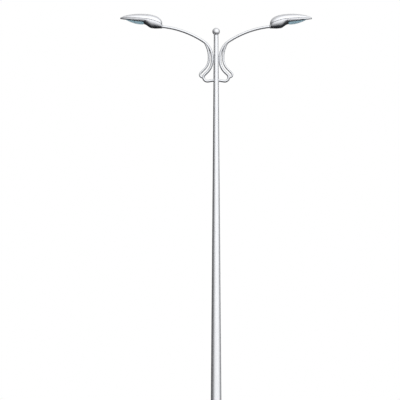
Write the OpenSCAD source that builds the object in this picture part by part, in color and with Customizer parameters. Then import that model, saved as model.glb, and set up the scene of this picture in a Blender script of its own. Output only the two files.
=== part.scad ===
// Double-arm street lighting column, 12 m to the lamps.
// Origin: middle of the base plate's underside. +Z up, arms along X, door towards -Y.

/* [Column] */
// Height of the shaft's top edge above the ground
shaft_top_z = 11690; // [9000:10:14000]
// Outside diameter of the shaft on the base plate
shaft_base_d = 322; // [240:1:400]
// Outside diameter of the shaft at its top
shaft_top_d = 128; // [108:1:180]
// Wall of the shaft
shaft_wall = 5; // [3:0.5:10]
// Diameter of the ball on top
ball_d = 210; // [130:1:360]
// Wall of the ball
ball_wall = 3; // [2:0.5:12]
// Radius of the flat on which the ball stands
ball_seat_r = 50; // [20:1:60]
// Thickness of the cap plate's rim
cap_t = 10; // [4:1:30]
// How far the cap plate's rim stands out past the shaft
cap_lip = 4; // [1:0.5:15]
// Depth of the cap plate's plug inside the shaft
cap_plug = 25; // [5:1:80]

/* [Base] */
// Side of the square base plate
plate_w = 520; // [500:5:700]
// Thickness of the base plate
plate_t = 25; // [12:1:40]
// Radius of the base plate's corners
plate_corner_r = 30; // [10:1:50]
// Diameter of the cable hole in the base plate
plate_bore_d = 200; // [100:5:260]
// Distance between neighbouring anchor bolt holes
bolt_spacing = 400; // [380:5:440]
// Diameter of each anchor bolt hole
bolt_hole_d = 34; // [20:1:40]
// Height of the stiffening ribs
rib_h = 180; // [100:5:260]
// Distance of the ribs' toes from the axis
rib_reach = 245; // [195:1:250]
// Thickness of a rib
rib_t = 12; // [6:1:24]
// Height of a rib at its toe
rib_toe = 20; // [5:1:60]
// Corner cut off each rib, clear of the weld bead
rib_snipe = 22; // [14:1:40]
// Leg of the weld bead round the shaft's foot
bead_leg = 10; // [4:1:13]
// Length of the earthing lug
lug_h = 70; // [30:1:120]
// Width of the earthing lug
lug_w = 40; // [25:1:60]
// Thickness of the earthing lug
lug_t = 8; // [4:1:20]
// Height of the earthing lug's lower edge
lug_z = 260; // [240:5:500]
// Diameter of the hole in the earthing lug
lug_hole_d = 13; // [6:1:20]

/* [Door] */
// Height of the middle of the door
door_z = 850; // [620:10:2000]
// Height of the door frame outside
door_h = 460; // [360:5:700]
// Width of the door frame outside
door_w = 130; // [90:1:170]
// Width of the frame's bar
frame_t = 8; // [4:1:16]
// Depth of the frame inside the shaft's surface
frame_depth = 25; // [12:1:40]
// How far the frame and the cover stand out of the shaft
frame_proud = 3; // [0.5:0.5:8]
// Gap between the cover and the frame
cover_gap = 1.5; // [0.5:0.1:4]
// Thickness of the cover
cover_t = 4; // [2:0.5:8]
// Distance between the two door locks
lock_pitch = 300; // [150:5:320]
// Height of a lock's backing bar
bar_h = 30; // [20:1:60]
// Thickness of a lock's backing bar
bar_t = 10; // [4:1:16]
// Diameter of a lock screw
lock_d = 10; // [6:1:16]
// Diameter of a lock screw's three-sided head
lock_head_d = 26; // [18:1:40]
// Height of a lock screw's head
lock_head_h = 8; // [3:1:16]

/* [Arms] */
// Outside diameter of an arm tube
arm_d = 76; // [60:1:90]
// Wall of an arm tube
arm_wall = 4; // [3:0.5:8]
// Distance of the arms' waist below the shaft's top
waist_drop = 632; // [450:1:900]
// Straight stretch of an arm along the shaft
waist_l = 68; // [20:1:120]
// Radius of the shoulder above the waist
shoulder_r = 560; // [450:1:700]
// Turn of the shoulder
shoulder_a = 57; // [45:0.5:60]
// Radius of the long sweep out to the lamp
sweep_r = 2570; // [1800:10:3600]
// Turn of the long sweep
sweep_a = 27; // [15:0.5:30]
// Radius of the flare below the waist
flare_r = 455; // [380:1:560]
// Turn of the flare
flare_a = 47; // [43:0.5:55]
// Straight stretch between the flare and the curl
flare_l = 85; // [40:1:160]
// Radius of the curl back to the shaft
curl_r = 109; // [85:1:150]
// Turn of the curl
curl_a = 146; // [130:0.5:150]
// Diameter of the cable hole at the arm's foot
cable_hole_d = 30; // [12:1:50]

/* [Scrolls] */
// Outside diameter of a scroll tube
scroll_d = 60; // [40:1:70]
// Wall of a scroll tube
scroll_wall = 3; // [2:0.5:6]
// Gap between arm and scroll at the waist
scroll_gap = 22; // [8:1:40]
// Straight stretch of a scroll at the waist
scroll_waist_l = 43; // [10:1:120]
// How far the scroll's straight stretch starts above the arm's own
scroll_lift = 25; // [0:1:60]
// Radius of a scroll above its waist
scroll_top_r = 751; // [700:1:1000]
// Radius of a scroll's flare
scroll_flare_r = 405; // [340:1:470]
// Turn of a scroll's flare
scroll_flare_a = 45.5; // [40:0.5:50]
// Straight stretch of a scroll below its flare
scroll_flare_l = 147; // [110:1:190]
// Radius of a scroll's curl back to the arm
scroll_curl_r = 75; // [62:1:90]

/* [Lamp housing] */
// Length of the lamp housing
lamp_l = 1186; // [1090:1:1500]
// Half of the lamp housing's greatest width
lamp_half_w = 205; // [180:1:260]
// Distance of the widest and highest place from the rear
lamp_crest_u = 430; // [320:1:500]
// Height of the housing's top above the arm's end
lamp_top_v = 300; // [250:1:400]
// Height of the side crease above the arm's end
lamp_crease_v = 154; // [130:1:200]
// Height of the glass frame's top above the arm's end
lamp_rim_v = 110; // [80:1:122]
// Half of the housing's width at its rear
rear_half_w = 68; // [56:1:100]
// Height of the housing's top at its rear
rear_top_v = 70; // [60:1:110]
// Height of the side crease at its rear
rear_crease_v = 52; // [40:1:66]
// How far the rear casting stands out below its sleeve
rear_lip = 6; // [4:1:16]
// How far each flank is drawn in from the crease down to the rim
flank_tuck = 42; // [0:1:80]
// Half of the width of the housing's blunt tip
tip_half_w = 9; // [6:1:16]
// Height of the housing's blunt tip
tip_h = 10; // [8:1:24]
// Depth of the gear pan below the arm's end
pan_depth = 73; // [64:1:110]
// Length over which the gear pan swells to its full depth
pan_swell_l = 200; // [120:5:270]
// Height of the gear pan's front edge above the arm's end
pan_front_v = 14; // [-20:1:50]
// Where the gear pan starts to rise
pan_rise_u = 290; // [240:1:360]
// Where the gear pan ends and the glass frame starts
pan_end_u = 510; // [440:1:540]
// Wall of the housing
shell_wall = 3; // [2:0.1:5]
// Width of the ledge along the side crease
crease_ledge = 9; // [2:1:16]
// Thickness of the rear casting's plate
casting_t = 12; // [6:1:20]
// Length of the rear casting's sleeve
sleeve_l = 130; // [100:1:200]
// Wall of the rear casting's sleeve
sleeve_wall = 8; // [4:0.5:9]
// Length of arm tube inside the sleeve
spigot_l = 120; // [80:1:160]
// Diameter of a clamp screw
clamp_d = 10; // [6:1:14]
// Length of a clamp screw
clamp_l = 17; // [12:1:40]
// Distance between the two clamp screws
clamp_pitch = 50; // [20:1:60]

/* [Optics] */
// Thickness of the glass frame
ring_t = 20; // [12:1:40]
// Thickness of the bulkhead between the gear pan and the glass bowl
bulkhead_t = 9; // [3:1:20]
// Length of the glass bowl
bowl_l = 550; // [400:1:560]
// Half of the glass bowl's width
bowl_half_w = 140; // [100:1:148]
// Depth of the glass bowl below the frame's top
bowl_depth = 113; // [60:1:140]
// Wall of the glass bowl
bowl_wall = 4; // [2:0.5:8]
// Thickness of the gasket on the glass frame
gasket_t = 3; // [1:0.5:8]
// Width of the gasket
gasket_w = 16; // [8:1:20]
// Height of the reflector above the gasket
reflector_h = 110; // [80:1:130]
// Sheet of the reflector
reflector_wall = 2; // [1:0.1:4]
// Thickness of the lampholder's plate
holder_t = 4; // [2:0.5:8]
// Diameter of the lampholder
holder_d = 54; // [40:1:64]
// Length of the lampholder
holder_l = 55; // [30:1:80]
// Height of the lamp's axis above the gasket
bulb_v = 48; // [36:1:60]
// Diameter of the lamp
bulb_d = 46; // [30:1:60]
// Length of the lamp past its holder
bulb_l = 250; // [120:1:300]

/* [Hidden] */
$fn = 64;

// Clearance at every welded or seated curved face
seat = 0.3;
// Overshoot of a cutting body past the face that it cuts
over = 40;
// Length by which neighbouring stretches of one bent tube lap into each other
lap = 2;
// Step in radius between neighbouring stretches of one bent tube
hair = 0.5;
// Paint colours
silver = "lightsteelblue";
dark_grey = "darkslategray";
shaft_slope = (shaft_base_d - shaft_top_d) / 2 / (shaft_top_z - plate_t);
arm_r = arm_d / 2;
scroll_r = scroll_d / 2;
sleeve_r = arm_r + hair + seat + sleeve_wall;

// Outside radius of the shaft at a height
function shaft_r(z) = shaft_top_d / 2 + (shaft_top_z - z) * shaft_slope;

// Waist of the arms
waist_z = shaft_top_z - waist_drop;
waist_x = shaft_r(waist_z - waist_l) + arm_r + hair + seat;

// A path is a list of [radius, turn] bends and [0, length] straights.
// It starts upwards, and a bend with a positive turn goes towards +X.
// A frame on it is [x, z, heading], with the heading turned from +Z to +X.
function bend_centre(p, s) = [
    p[0] + sign(s[1]) * s[0] * cos(p[2]),
    p[1] - sign(s[1]) * s[0] * sin(p[2])
];
function step(p, s) = s[0] == 0
    ? [p[0] + s[1] * sin(p[2]), p[1] + s[1] * cos(p[2]), p[2]]
    : let (c = bend_centre(p, s), h = p[2] + s[1], k = sign(s[1]) * s[0])
        [c[0] - k * cos(h), c[1] + k * sin(h), h];
function frame_at(path, n) = n == 0 ? [0, 0, 0] : step(frame_at(path, n - 1), path[n - 1]);

arm_up = [[shoulder_r, shoulder_a], [sweep_r, sweep_a], [0, spigot_l]];
arm_down = [[flare_r, flare_a], [0, flare_l], [curl_r, -curl_a]];
arm_turn = frame_at(arm_down, 3);
foot_in = (waist_x + arm_turn[0] - shaft_top_d / 3) / -sin(arm_turn[2]);
arm_down_all = concat(arm_down, [[0, foot_in]]);
foot_z = waist_z - waist_l - arm_turn[1] - cos(arm_turn[2]) * foot_in;
lamp_at = frame_at(arm_up, 2);
lamp_x = waist_x + lamp_at[0];
lamp_z = waist_z + lamp_at[1];
lamp_tilt = 90 - lamp_at[2];

// Turn of a circle that starts at angle 180 of its centre c, to where it meets a second circle
function meet_turn(c, r, c2, r2) =
    let (d = c2 - c, l = norm(d), a = (r * r - r2 * r2 + l * l) / (2 * l))
    [180 - atan2(d[1], d[0]), acos(a / r)];

// The scroll leaves the arm at the shoulder and comes back to it at the curl
scroll_x = waist_x + arm_r + scroll_r + scroll_gap;
scroll_z = waist_z + scroll_lift;
scroll_meet = meet_turn(
    [scroll_x + scroll_top_r, scroll_z], scroll_top_r,
    [waist_x + shoulder_r, waist_z], shoulder_r
);
scroll_up = [[scroll_top_r, (scroll_meet[0] + scroll_meet[1]) % 360]];
scroll_low_z = scroll_z - scroll_waist_l;
scroll_down = [[scroll_flare_r, scroll_flare_a], [0, scroll_flare_l]];
arm_curl = bend_centre(frame_at(arm_down, 2), arm_down[2]);
arm_curl_c = [waist_x + arm_curl[0], waist_z - waist_l - arm_curl[1]];
scroll_end = frame_at(scroll_down, 2);
scroll_curl = bend_centre(scroll_end, [scroll_curl_r, -1]);
scroll_curl_c = [scroll_x + scroll_curl[0], scroll_low_z - scroll_curl[1]];

// Turn of the scroll's curl until its axis meets the arm's axis
curl_d = arm_curl_c - scroll_curl_c;
curl_l = norm(curl_d);
curl_along = (scroll_curl_r ^ 2 - curl_r ^ 2 + curl_l ^ 2) / (2 * curl_l);
curl_out = atan2(curl_d[1], curl_d[0]) + acos(curl_along / scroll_curl_r);
scroll_curl_a = scroll_end[2] - curl_out;

// One path as a tube of outside radius ro and inside radius ri. Every second piece is a
// hair thicker and laps into its neighbours, as a butt-welded bend does.
module tube_path(path, ro, ri) {
    for (i = [0 : len(path) - 1]) {
        s = path[i];
        p = frame_at(path, i);
        odd = i % 2;
        translate([p[0], 0, p[1]]) rotate([0, p[2], 0])
            if (s[0] == 0) straight_tube(s[1], ro, ri, odd);
            else bent_tube(s[0], s[1], ro, ri, odd);
    }
}

module straight_tube(l, ro, ri, odd) {
    translate([0, 0, -odd * lap]) linear_extrude(l + 2 * odd * lap)
        wall_ring(ro + odd * hair, ri - odd * hair);
}

module bent_tube(r, turn, ro, ri, odd) {
    extra = odd * lap / r * 180 / PI;
    a = abs(turn) + 2 * extra;
    rotate([0, 0, turn > 0 ? 0 : 180])
        translate([r, 0, 0])
            rotate([90, 0, 0])
                rotate([0, 0, 180 + extra - a])
                    rotate_extrude(angle = a)
                        translate([r, 0]) wall_ring(ro + odd * hair, ri - odd * hair);
}

module wall_ring(ro, ri) {
    difference() {
        circle(r = ro);
        if (ri > hair) circle(r = ri);
    }
}

// The shaft's outside, grown by g, from z0 to z1
module shaft_cone(g, z0, z1) {
    translate([0, 0, z0])
        cylinder(h = z1 - z0, r1 = shaft_r(z0) + g, r2 = shaft_r(z1) + g);
}

// A door outline with round ends, grown by g, as a body through the front wall
module door_prism(g, depth) {
    w = door_w + 2 * g;
    straight = door_h - door_w;
    translate([0, 0, door_z]) rotate([90, 0, 0]) linear_extrude(depth) {
        square([w, straight], center = true);
        for (s = [-1, 1]) translate([0, s * straight / 2]) circle(d = w);
    }
}

// Base

module base_plate() {
    corner = plate_w / 2 - plate_corner_r;
    color(silver) difference() {
        union() {
            translate([-plate_w / 2, -corner, 0]) cube([plate_w, 2 * corner, plate_t]);
            translate([-corner, -plate_w / 2, 0]) cube([2 * corner, plate_w, plate_t]);
            for (x = [-1, 1], y = [-1, 1])
                translate([x * corner, y * corner, 0]) cylinder(r = plate_corner_r, h = plate_t);
        }
        translate([0, 0, -over]) cylinder(d = plate_bore_d, h = plate_t + 2 * over);
        for (x = [-1, 1], y = [-1, 1])
            translate([x * bolt_spacing / 2, y * bolt_spacing / 2, -over])
                cylinder(d = bolt_hole_d, h = plate_t + 2 * over);
    }
}

// Four ribs round the shaft's foot, the first at an angle
module ribs(first) {
    color(silver) difference() {
        for (a = [0 : 90 : 270])
            rotate([0, 0, first + a]) rotate([90, 0, 0])
                translate([0, plate_t, -rib_t / 2]) linear_extrude(rib_t) polygon([
                    [0, rib_snipe], [shaft_base_d / 2, rib_snipe],
                    [shaft_base_d / 2 + rib_snipe, 0], [rib_reach, 0],
                    [rib_reach, rib_toe], [shaft_base_d / 2, rib_h], [0, rib_h]
                ]);
        shaft_cone(seat, plate_t, plate_t + rib_h + over);
    }
}

module base_weld() {
    color(silver) difference() {
        translate([0, 0, plate_t]) rotate_extrude() polygon([
            [plate_bore_d / 2, 0], [shaft_base_d / 2 + bead_leg, 0], [shaft_base_d / 2, bead_leg],
            [plate_bore_d / 2, bead_leg]
        ]);
        translate([0, 0, plate_t - over]) cylinder(d = shaft_base_d - 2 * shaft_wall, h = 3 * over);
        shaft_cone(seat, plate_t, plate_t + over);
    }
}

module earth_lug() {
    y = shaft_r(lug_z + lug_h) + lug_w;
    color("silver") difference() {
        translate([-lug_t / 2, 0, lug_z]) cube([lug_t, y, lug_h]);
        shaft_cone(seat, lug_z - over, lug_z + lug_h + over);
        translate([0, y - lug_w / 2, lug_z + lug_h / 2]) rotate([0, 90, 0])
            cylinder(d = lug_hole_d, h = 2 * over, center = true);
    }
}

// Column

module shaft() {
    color(silver) difference() {
        shaft_cone(0, plate_t, shaft_top_z);
        shaft_cone(-shaft_wall, plate_t - over, shaft_top_z + over);
        door_prism(seat, shaft_base_d);
        translate([0, 0, foot_z]) rotate([0, 90, 0])
            cylinder(d = cable_hole_d, h = shaft_base_d, center = true);
    }
}

module door_frame() {
    color(silver) intersection() {
        difference() {
            door_prism(0, shaft_base_d);
            translate([0, over, 0]) door_prism(-frame_t, shaft_base_d + 2 * over);
        }
        door_shell(-frame_depth, frame_proud);
    }
}

// A layer of the shaft's surface round the door, between two offsets
module door_shell(inner, outer) {
    low = door_z - door_h / 2 - over;
    high = door_z + door_h / 2 + over;
    difference() {
        shaft_cone(outer, low, high);
        shaft_cone(inner, low - over, high + over);
    }
}

module lock_places() {
    for (s = [-1, 1]) translate([0, 0, door_z + s * lock_pitch / 2]) children();
}

module lock_holes() {
    lock_places() rotate([90, 0, 0]) cylinder(d = lock_d + 2 * seat, h = shaft_base_d);
}

module door_cover() {
    color(silver) difference() {
        intersection() {
            door_prism(-frame_t - cover_gap, shaft_base_d);
            door_shell(frame_proud - cover_t, frame_proud);
        }
        lock_holes();
    }
}

module door_lock_bars() {
    w = door_w - 2 * frame_t - 2 * seat;
    back = frame_proud - cover_t - seat;
    color("gray") difference() {
        intersection() {
            lock_places() translate([-w / 2, -shaft_base_d, -bar_h / 2]) cube([w, shaft_base_d, bar_h]);
            door_shell(back - bar_t, back);
        }
        lock_holes();
    }
}

module door_lock_screws() {
    color("gray") lock_places() {
        face = shaft_r(door_z - lock_pitch / 2) + frame_proud + seat;
        shank = cover_t + bar_t + 2 * seat;
        translate([0, -face, 0]) rotate([90, 0, 0]) {
            cylinder(d = lock_head_d, h = lock_head_h, $fn = 3);
            translate([0, 0, -shank]) cylinder(d = lock_d, h = shank);
        }
    }
}

module top_cap() {
    color(silver) {
        translate([0, 0, shaft_top_z]) cylinder(d = shaft_top_d + 2 * cap_lip, h = cap_t);
        translate([0, 0, shaft_top_z - cap_plug])
            cylinder(r = shaft_top_d / 2 - shaft_wall - seat, h = cap_plug);
    }
}

module finial_ball() {
    r = ball_d / 2;
    foot = shaft_top_z + cap_t;
    color(silver) difference() {
        translate([0, 0, foot + sqrt(r ^ 2 - ball_seat_r ^ 2)]) difference() {
            sphere(r = r);
            sphere(r = r - ball_wall);
        }
        translate([-r, -r, foot - ball_d]) cube([ball_d, ball_d, ball_d]);
    }
}

// Arms

module arm_body(ro, ri) {
    translate([waist_x, 0, waist_z]) tube_path(arm_up, ro, ri);
    translate([waist_x, 0, waist_z - waist_l]) straight_tube(waist_l, ro, ri, 1);
    translate([waist_x, 0, waist_z - waist_l]) mirror([0, 0, 1]) tube_path(arm_down_all, ro, ri);
}

module arm() {
    color(silver) difference() {
        arm_body(arm_r, arm_r - arm_wall);
        shaft_cone(seat, foot_z - arm_d, foot_z + arm_d);
    }
}

module scroll_body(ro, ri) {
    translate([scroll_x, 0, scroll_z]) tube_path(scroll_up, ro, ri);
    translate([scroll_x, 0, scroll_low_z]) straight_tube(scroll_waist_l, ro, ri, 1);
    translate([scroll_x, 0, scroll_low_z]) mirror([0, 0, 1])
        tube_path(concat(scroll_down, [[scroll_curl_r, -scroll_curl_a]]), ro, ri);
}

module scroll() {
    color(silver) difference() {
        scroll_body(scroll_r, scroll_r - scroll_wall);
        arm_body(arm_r + seat, 0);
    }
}

// Lamp housing, in its own frame: u along the arm's end, v up, y across

module at_lamp() {
    translate([lamp_x, 0, lamp_z]) rotate([0, -lamp_tilt, 0]) children();
}

module both(side) {
    if (side > 0) children();
    else mirror([1, 0, 0]) children();
}

// Rounded rise from 0 to 1 over s = 0 to 1, and rounded fall from 1 to 0
function rise(s, n) = (1 - (1 - min(max(s, 0), 1)) ^ n) ^ (1 / n);
function fall(s, n, m) = (1 - min(max(s, 0), 1) ^ n) ^ (1 / m);
function smooth(s) = let (t = min(max(s, 0), 1)) t * t * (3 - 2 * t);
function crest(u, low, high, end, full) = u < lamp_crest_u
    ? low + (high - low) * rise((u - casting_t) / (lamp_crest_u - casting_t), full[0])
    : end + (high - end) * fall((u - lamp_crest_u) / (lamp_l - lamp_crest_u), full[1], full[2]);

// Fullness of each outline: towards the rear, towards the tip, and at the tip itself
plan_full = [2.3, 1.9, 1.45];
top_full = [2.25, 2.05, 1.3];
crease_full = [1.45, 3, 1.25];

// Outlines at u: half-width, heights of top, crease and rim, the rim's tuck, the pan's underside
function half_w(u) = crest(u, rear_half_w, lamp_half_w, tip_half_w, plan_full);
function top_v(u) = crest(u, rear_top_v, lamp_top_v, lamp_rim_v + tip_h, top_full);
function crease_v(u) = crest(u, rear_crease_v, lamp_crease_v, lamp_rim_v + tip_h / 2, crease_full);
function rim_v(u) = lamp_rim_v * smooth((u - pan_rise_u) / (pan_end_u - pan_rise_u));
function tuck(u) = flank_tuck * (crease_v(u) - rim_v(u)) / lamp_crease_v * half_w(u) / lamp_half_w;
function pan_v(u) = let (rear_v = -sleeve_r - rear_lip)
    u < pan_rise_u
    ? rear_v - (pan_depth + rear_v) * smooth((u - casting_t) / pan_swell_l)
    : -pan_depth + (pan_depth + pan_front_v) * smooth((u - pan_rise_u) / (pan_end_u - pan_rise_u));

// Stations along the housing, closer together towards its ends
rear_n = 10;
rear_bias = 1.8;
rise_n = 9;
tip_n = 12;
blunt_u = lamp_l - 2 * shell_wall;
rear_us = concat(
    [for (i = [0 : rear_n - 1]) casting_t + (pan_rise_u - casting_t) * (i / rear_n) ^ rear_bias],
    [for (i = [0 : rise_n]) pan_rise_u + (pan_end_u - pan_rise_u) * i / rise_n]
);
tip_us = concat(
    [for (i = [1 : tip_n])
        pan_end_u + (blunt_u - pan_end_u) * (sin(90 * i / tip_n) + i / tip_n) / 2],
    [lamp_l]
);
canopy_us = concat(rear_us, tip_us);

// Arc angles round a section, and down a flank
dome_n = 14;
dome_as = [for (i = [0 : dome_n]) 180 * i / dome_n];
flank_n = 4;
flank_a = 50;
flank_as = [for (i = [flank_n : -1 : 0]) flank_a * i / flank_n];
function bulge(c, n) = sign(c) * abs(c) ^ n;

// One ring of the canopy at u, drawn in by t: flank up to the crease, ledge, dome, and down again
dome_full = [0.9, 0.85];
ledge_rise = 1 / 3;
function canopy_ring(u, t) =
    let (
        w = half_w(u) - t, c = crease_v(u), r = rim_v(u), ledge = crease_ledge * w / lamp_half_w,
        flank = [for (a = flank_as)
            [w - tuck(u) * (1 - cos(a)) / (1 - cos(flank_a)), c - (c - r) * sin(a) / sin(flank_a)]],
        low = c + ledge * ledge_rise - t,
        rise_v = top_v(u) - t - low
    )
    concat(
        [for (p = flank) [u, p[0], p[1]]],
        [for (a = dome_as) [
            u,
            (w - ledge) * bulge(cos(a), dome_full[0]),
            low + rise_v * bulge(sin(a), dome_full[1])
        ]],
        [for (i = [flank_n : -1 : 0]) [u, -flank[i][0], flank[i][1]]]
    );

// One ring of the gear pan at u, drawn in by t, depth counted upwards
pan_full = [0.6, 0.7];
function pan_ring(u, t) = [for (a = dome_as) [
    u,
    (half_w(u) - tuck(u) - t) * bulge(cos(a), pan_full[0]),
    -rim_v(u) + (rim_v(u) - pan_v(u) - t) * bulge(sin(a), pan_full[1])
]];

// Shell between two lofts of open rings, closed by end walls where asked
module loft_shell(outer, inner, start_closed, end_closed) {
    n = len(outer);
    m = len(outer[0]);
    last = n - 1;
    o = function (i, j) i * m + j;
    q = function (i, j) (n + i) * m + j;
    points = [for (rings = [outer, inner], ring = rings, p = ring) p];
    walls = [for (i = [0 : last - 1], j = [0 : m - 2]) each [
        [o(i, j), o(i + 1, j), o(i + 1, j + 1)], [o(i, j), o(i + 1, j + 1), o(i, j + 1)],
        [q(i, j), q(i + 1, j + 1), q(i + 1, j)], [q(i, j), q(i, j + 1), q(i + 1, j + 1)]
    ]];
    edges = [for (i = [0 : last - 1]) each [
        [q(i, 0), q(i + 1, 0), o(i + 1, 0)], [q(i, 0), o(i + 1, 0), o(i, 0)],
        [q(i, m - 1), o(i + 1, m - 1), q(i + 1, m - 1)], [q(i, m - 1), o(i, m - 1), o(i + 1, m - 1)]
    ]];
    start_faces = start_closed
        ? [[for (j = [0 : m - 1]) o(0, j)], [for (j = [0 : m - 1]) q(0, m - 1 - j)],
            [o(0, m - 1), q(0, m - 1), q(0, 0)], [o(0, m - 1), q(0, 0), o(0, 0)]]
        : [for (j = [0 : m - 2]) each [
            [o(0, j), o(0, j + 1), q(0, j + 1)], [o(0, j), q(0, j + 1), q(0, j)]]];
    end_faces = end_closed
        ? [[for (j = [0 : m - 1]) o(last, m - 1 - j)], [for (j = [0 : m - 1]) q(last, j)],
            [o(last, m - 1), q(last, 0), q(last, m - 1)], [o(last, m - 1), o(last, 0), q(last, 0)]]
        : [for (j = [0 : m - 2]) each [
            [o(last, j), q(last, j + 1), o(last, j + 1)], [o(last, j), q(last, j), q(last, j + 1)]]];
    polyhedron(points, concat(walls, edges, start_faces, end_faces));
}

module rear_casting() {
    outline = concat(
        [for (p = canopy_ring(casting_t, 0)) [p[1], p[2]]],
        [for (p = pan_ring(casting_t, 0)) [-p[1], -p[2]]]
    );
    color(silver) difference() {
        union() {
            rotate([90, 0, 90]) linear_extrude(casting_t) polygon(outline);
            rotate([0, 90, 0]) cylinder(r = sleeve_r, h = casting_t + sleeve_l);
        }
        translate([-over, 0, 0]) rotate([0, 90, 0])
            cylinder(r = sleeve_r - sleeve_wall, h = casting_t + sleeve_l + 2 * over);
        clamp_places() translate([0, 0, -arm_r / 2]) cylinder(d = clamp_d + 2 * seat, h = over + arm_r / 2);
    }
}

module clamp_places() {
    for (s = [-1, 1])
        translate([casting_t + spigot_l / 2 + s * clamp_pitch / 2, 0, arm_r + hair + seat]) children();
}

module clamp_screws() {
    color("gray") clamp_places() cylinder(d = clamp_d, h = clamp_l);
}

module canopy() {
    inner_us = [for (u = canopy_us) min(u, lamp_l - shell_wall)];
    color(silver) loft_shell(
        [for (u = canopy_us) canopy_ring(u, 0)],
        [for (u = inner_us) canopy_ring(u, shell_wall)],
        false, true
    );
}

module gear_pan() {
    inner_us = [for (u = rear_us) min(u, pan_end_u - shell_wall)];
    color(dark_grey) mirror([0, 0, 1]) loft_shell(
        [for (u = rear_us) pan_ring(u, 0)],
        [for (u = inner_us) pan_ring(u, shell_wall)],
        false, true
    );
}

// Glass bowl: its ends, its widest place, and its half-width and depth at u
bowl_n = 16;
bowl_rear_u = pan_end_u + bulkhead_t - bowl_wall;
bowl_tip_u = bowl_rear_u + bowl_l;
bowl_wide_share = 0.28;
bowl_wide_u = bowl_rear_u + bowl_l * bowl_wide_share;
bowl_plan_full = [2.6, 2, 1.7];
bowl_side_full = [6, 1.6, 1.3];
function bowl_crest(u, full) = u < bowl_wide_u
    ? rise((u - bowl_rear_u) / (bowl_wide_u - bowl_rear_u), full[0])
    : fall((u - bowl_wide_u) / (bowl_tip_u - bowl_wide_u), full[1], full[2]);
function bowl_w(u) = bowl_half_w * bowl_crest(u, bowl_plan_full);
function bowl_v(u) = bowl_depth * bowl_crest(u, bowl_side_full);
bowl_us = [for (i = [0 : bowl_n])
    bowl_rear_u + bowl_wall + (bowl_l - 2 * bowl_wall) * (1 - cos(180 * i / bowl_n)) / 2];

// Glass bowl's plan, grown by g
function bowl_outline(g) =
    let (m = bowl_rear_u + bowl_l / 2, k = (bowl_l + 2 * g) / bowl_l)
    [for (s = [1, -1], i = [0 : bowl_n])
        let (u = bowl_us[s > 0 ? i : bowl_n - i])
        [m + (u - m) * k, s * (bowl_w(u) + g)]];

module glass_frame() {
    edge = [for (u = concat([pan_end_u], tip_us)) [u, half_w(u) - tuck(u)]];
    outline = concat(edge, [for (i = [len(edge) - 1 : -1 : 0]) [edge[i][0], -edge[i][1]]]);
    color(dark_grey) {
        translate([0, 0, lamp_rim_v - ring_t]) linear_extrude(ring_t) difference() {
            polygon(outline);
            polygon(bowl_outline(seat));
        }
        translate([pan_end_u, 0, 0]) rotate([90, 0, 90]) linear_extrude(bulkhead_t - seat)
            polygon([for (p = pan_ring(pan_end_u, 0)) [p[1], -p[2]]]);
    }
}

bowl_full = 0.8;
function bowl_ring(u, t) = [for (a = dome_as) [
    u,
    (bowl_w(u) - t) * bulge(cos(a), bowl_full),
    -lamp_rim_v + (bowl_v(u) - t) * bulge(sin(a), bowl_full)
]];

module glass_bowl() {
    inner_us = [for (u = bowl_us)
        min(max(u, bowl_us[0] + bowl_wall), bowl_us[bowl_n] - bowl_wall)];
    color("lightblue", 0.5) mirror([0, 0, 1]) loft_shell(
        [for (u = bowl_us) bowl_ring(u, 0)],
        [for (u = inner_us) bowl_ring(u, bowl_wall)],
        true, true
    );
}

module gasket() {
    color("dimgray") translate([0, 0, lamp_rim_v]) linear_extrude(gasket_t) difference() {
        polygon(bowl_outline(gasket_w / 2));
        polygon(bowl_outline(-gasket_w / 2));
    }
}

// The reflector stands on the gasket and is open towards the lampholder
holder_i = 3;
reflector_end_i = bowl_n - 2;
reflector_full = 0.9;
holder_u = bowl_us[holder_i];
reflector_us = [for (i = [holder_i : reflector_end_i]) bowl_us[i]];
function reflector_ring(u, t) = [for (a = dome_as) [
    u,
    (bowl_w(u) - t) * bulge(cos(a), reflector_full),
    lamp_rim_v + gasket_t
        + (reflector_h * bowl_w(u) / bowl_half_w - t) * bulge(sin(a), reflector_full)
]];

module reflector() {
    last = bowl_us[reflector_end_i] - reflector_wall;
    color("white") loft_shell(
        [for (u = reflector_us) reflector_ring(u, 0)],
        [for (u = reflector_us) reflector_ring(min(u, last), reflector_wall)],
        false, true
    );
}

module lampholder() {
    outline = [for (p = reflector_ring(holder_u, 0)) [p[1], p[2]]];
    color("white") {
        translate([holder_u - holder_t, 0, 0]) rotate([90, 0, 90]) linear_extrude(holder_t)
            polygon(outline);
        translate([holder_u, 0, lamp_rim_v + gasket_t + bulb_v]) rotate([0, 90, 0])
            cylinder(d = holder_d, h = holder_l);
    }
}

module bulb() {
    r = bulb_d / 2;
    color("white", 0.6) translate([holder_u + holder_l, 0, lamp_rim_v + gasket_t + bulb_v])
        rotate([0, 90, 0]) {
            cylinder(r = r, h = bulb_l - r);
            translate([0, 0, bulb_l - r]) sphere(r = r);
        }
}

base_plate();
ribs(0);  // side_ribs
ribs(45);  // corner_ribs
base_weld();
shaft();
earth_lug();
door_frame();
door_cover();
door_lock_bars();
door_lock_screws();
top_cap();
finial_ball();
both(1) arm();  // arm_right
both(-1) arm();  // arm_left
both(1) scroll();  // scroll_right
both(-1) scroll();  // scroll_left
both(1) at_lamp() rear_casting();  // rear_casting_right
both(-1) at_lamp() rear_casting();  // rear_casting_left
both(1) at_lamp() clamp_screws();  // clamp_screws_right
both(-1) at_lamp() clamp_screws();  // clamp_screws_left
both(1) at_lamp() canopy();  // canopy_right
both(-1) at_lamp() canopy();  // canopy_left
both(1) at_lamp() gear_pan();  // gear_pan_right
both(-1) at_lamp() gear_pan();  // gear_pan_left
both(1) at_lamp() glass_frame();  // glass_frame_right
both(-1) at_lamp() glass_frame();  // glass_frame_left
both(1) at_lamp() glass_bowl();  // glass_bowl_right
both(-1) at_lamp() glass_bowl();  // glass_bowl_left
both(1) at_lamp() gasket();  // gasket_right
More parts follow.
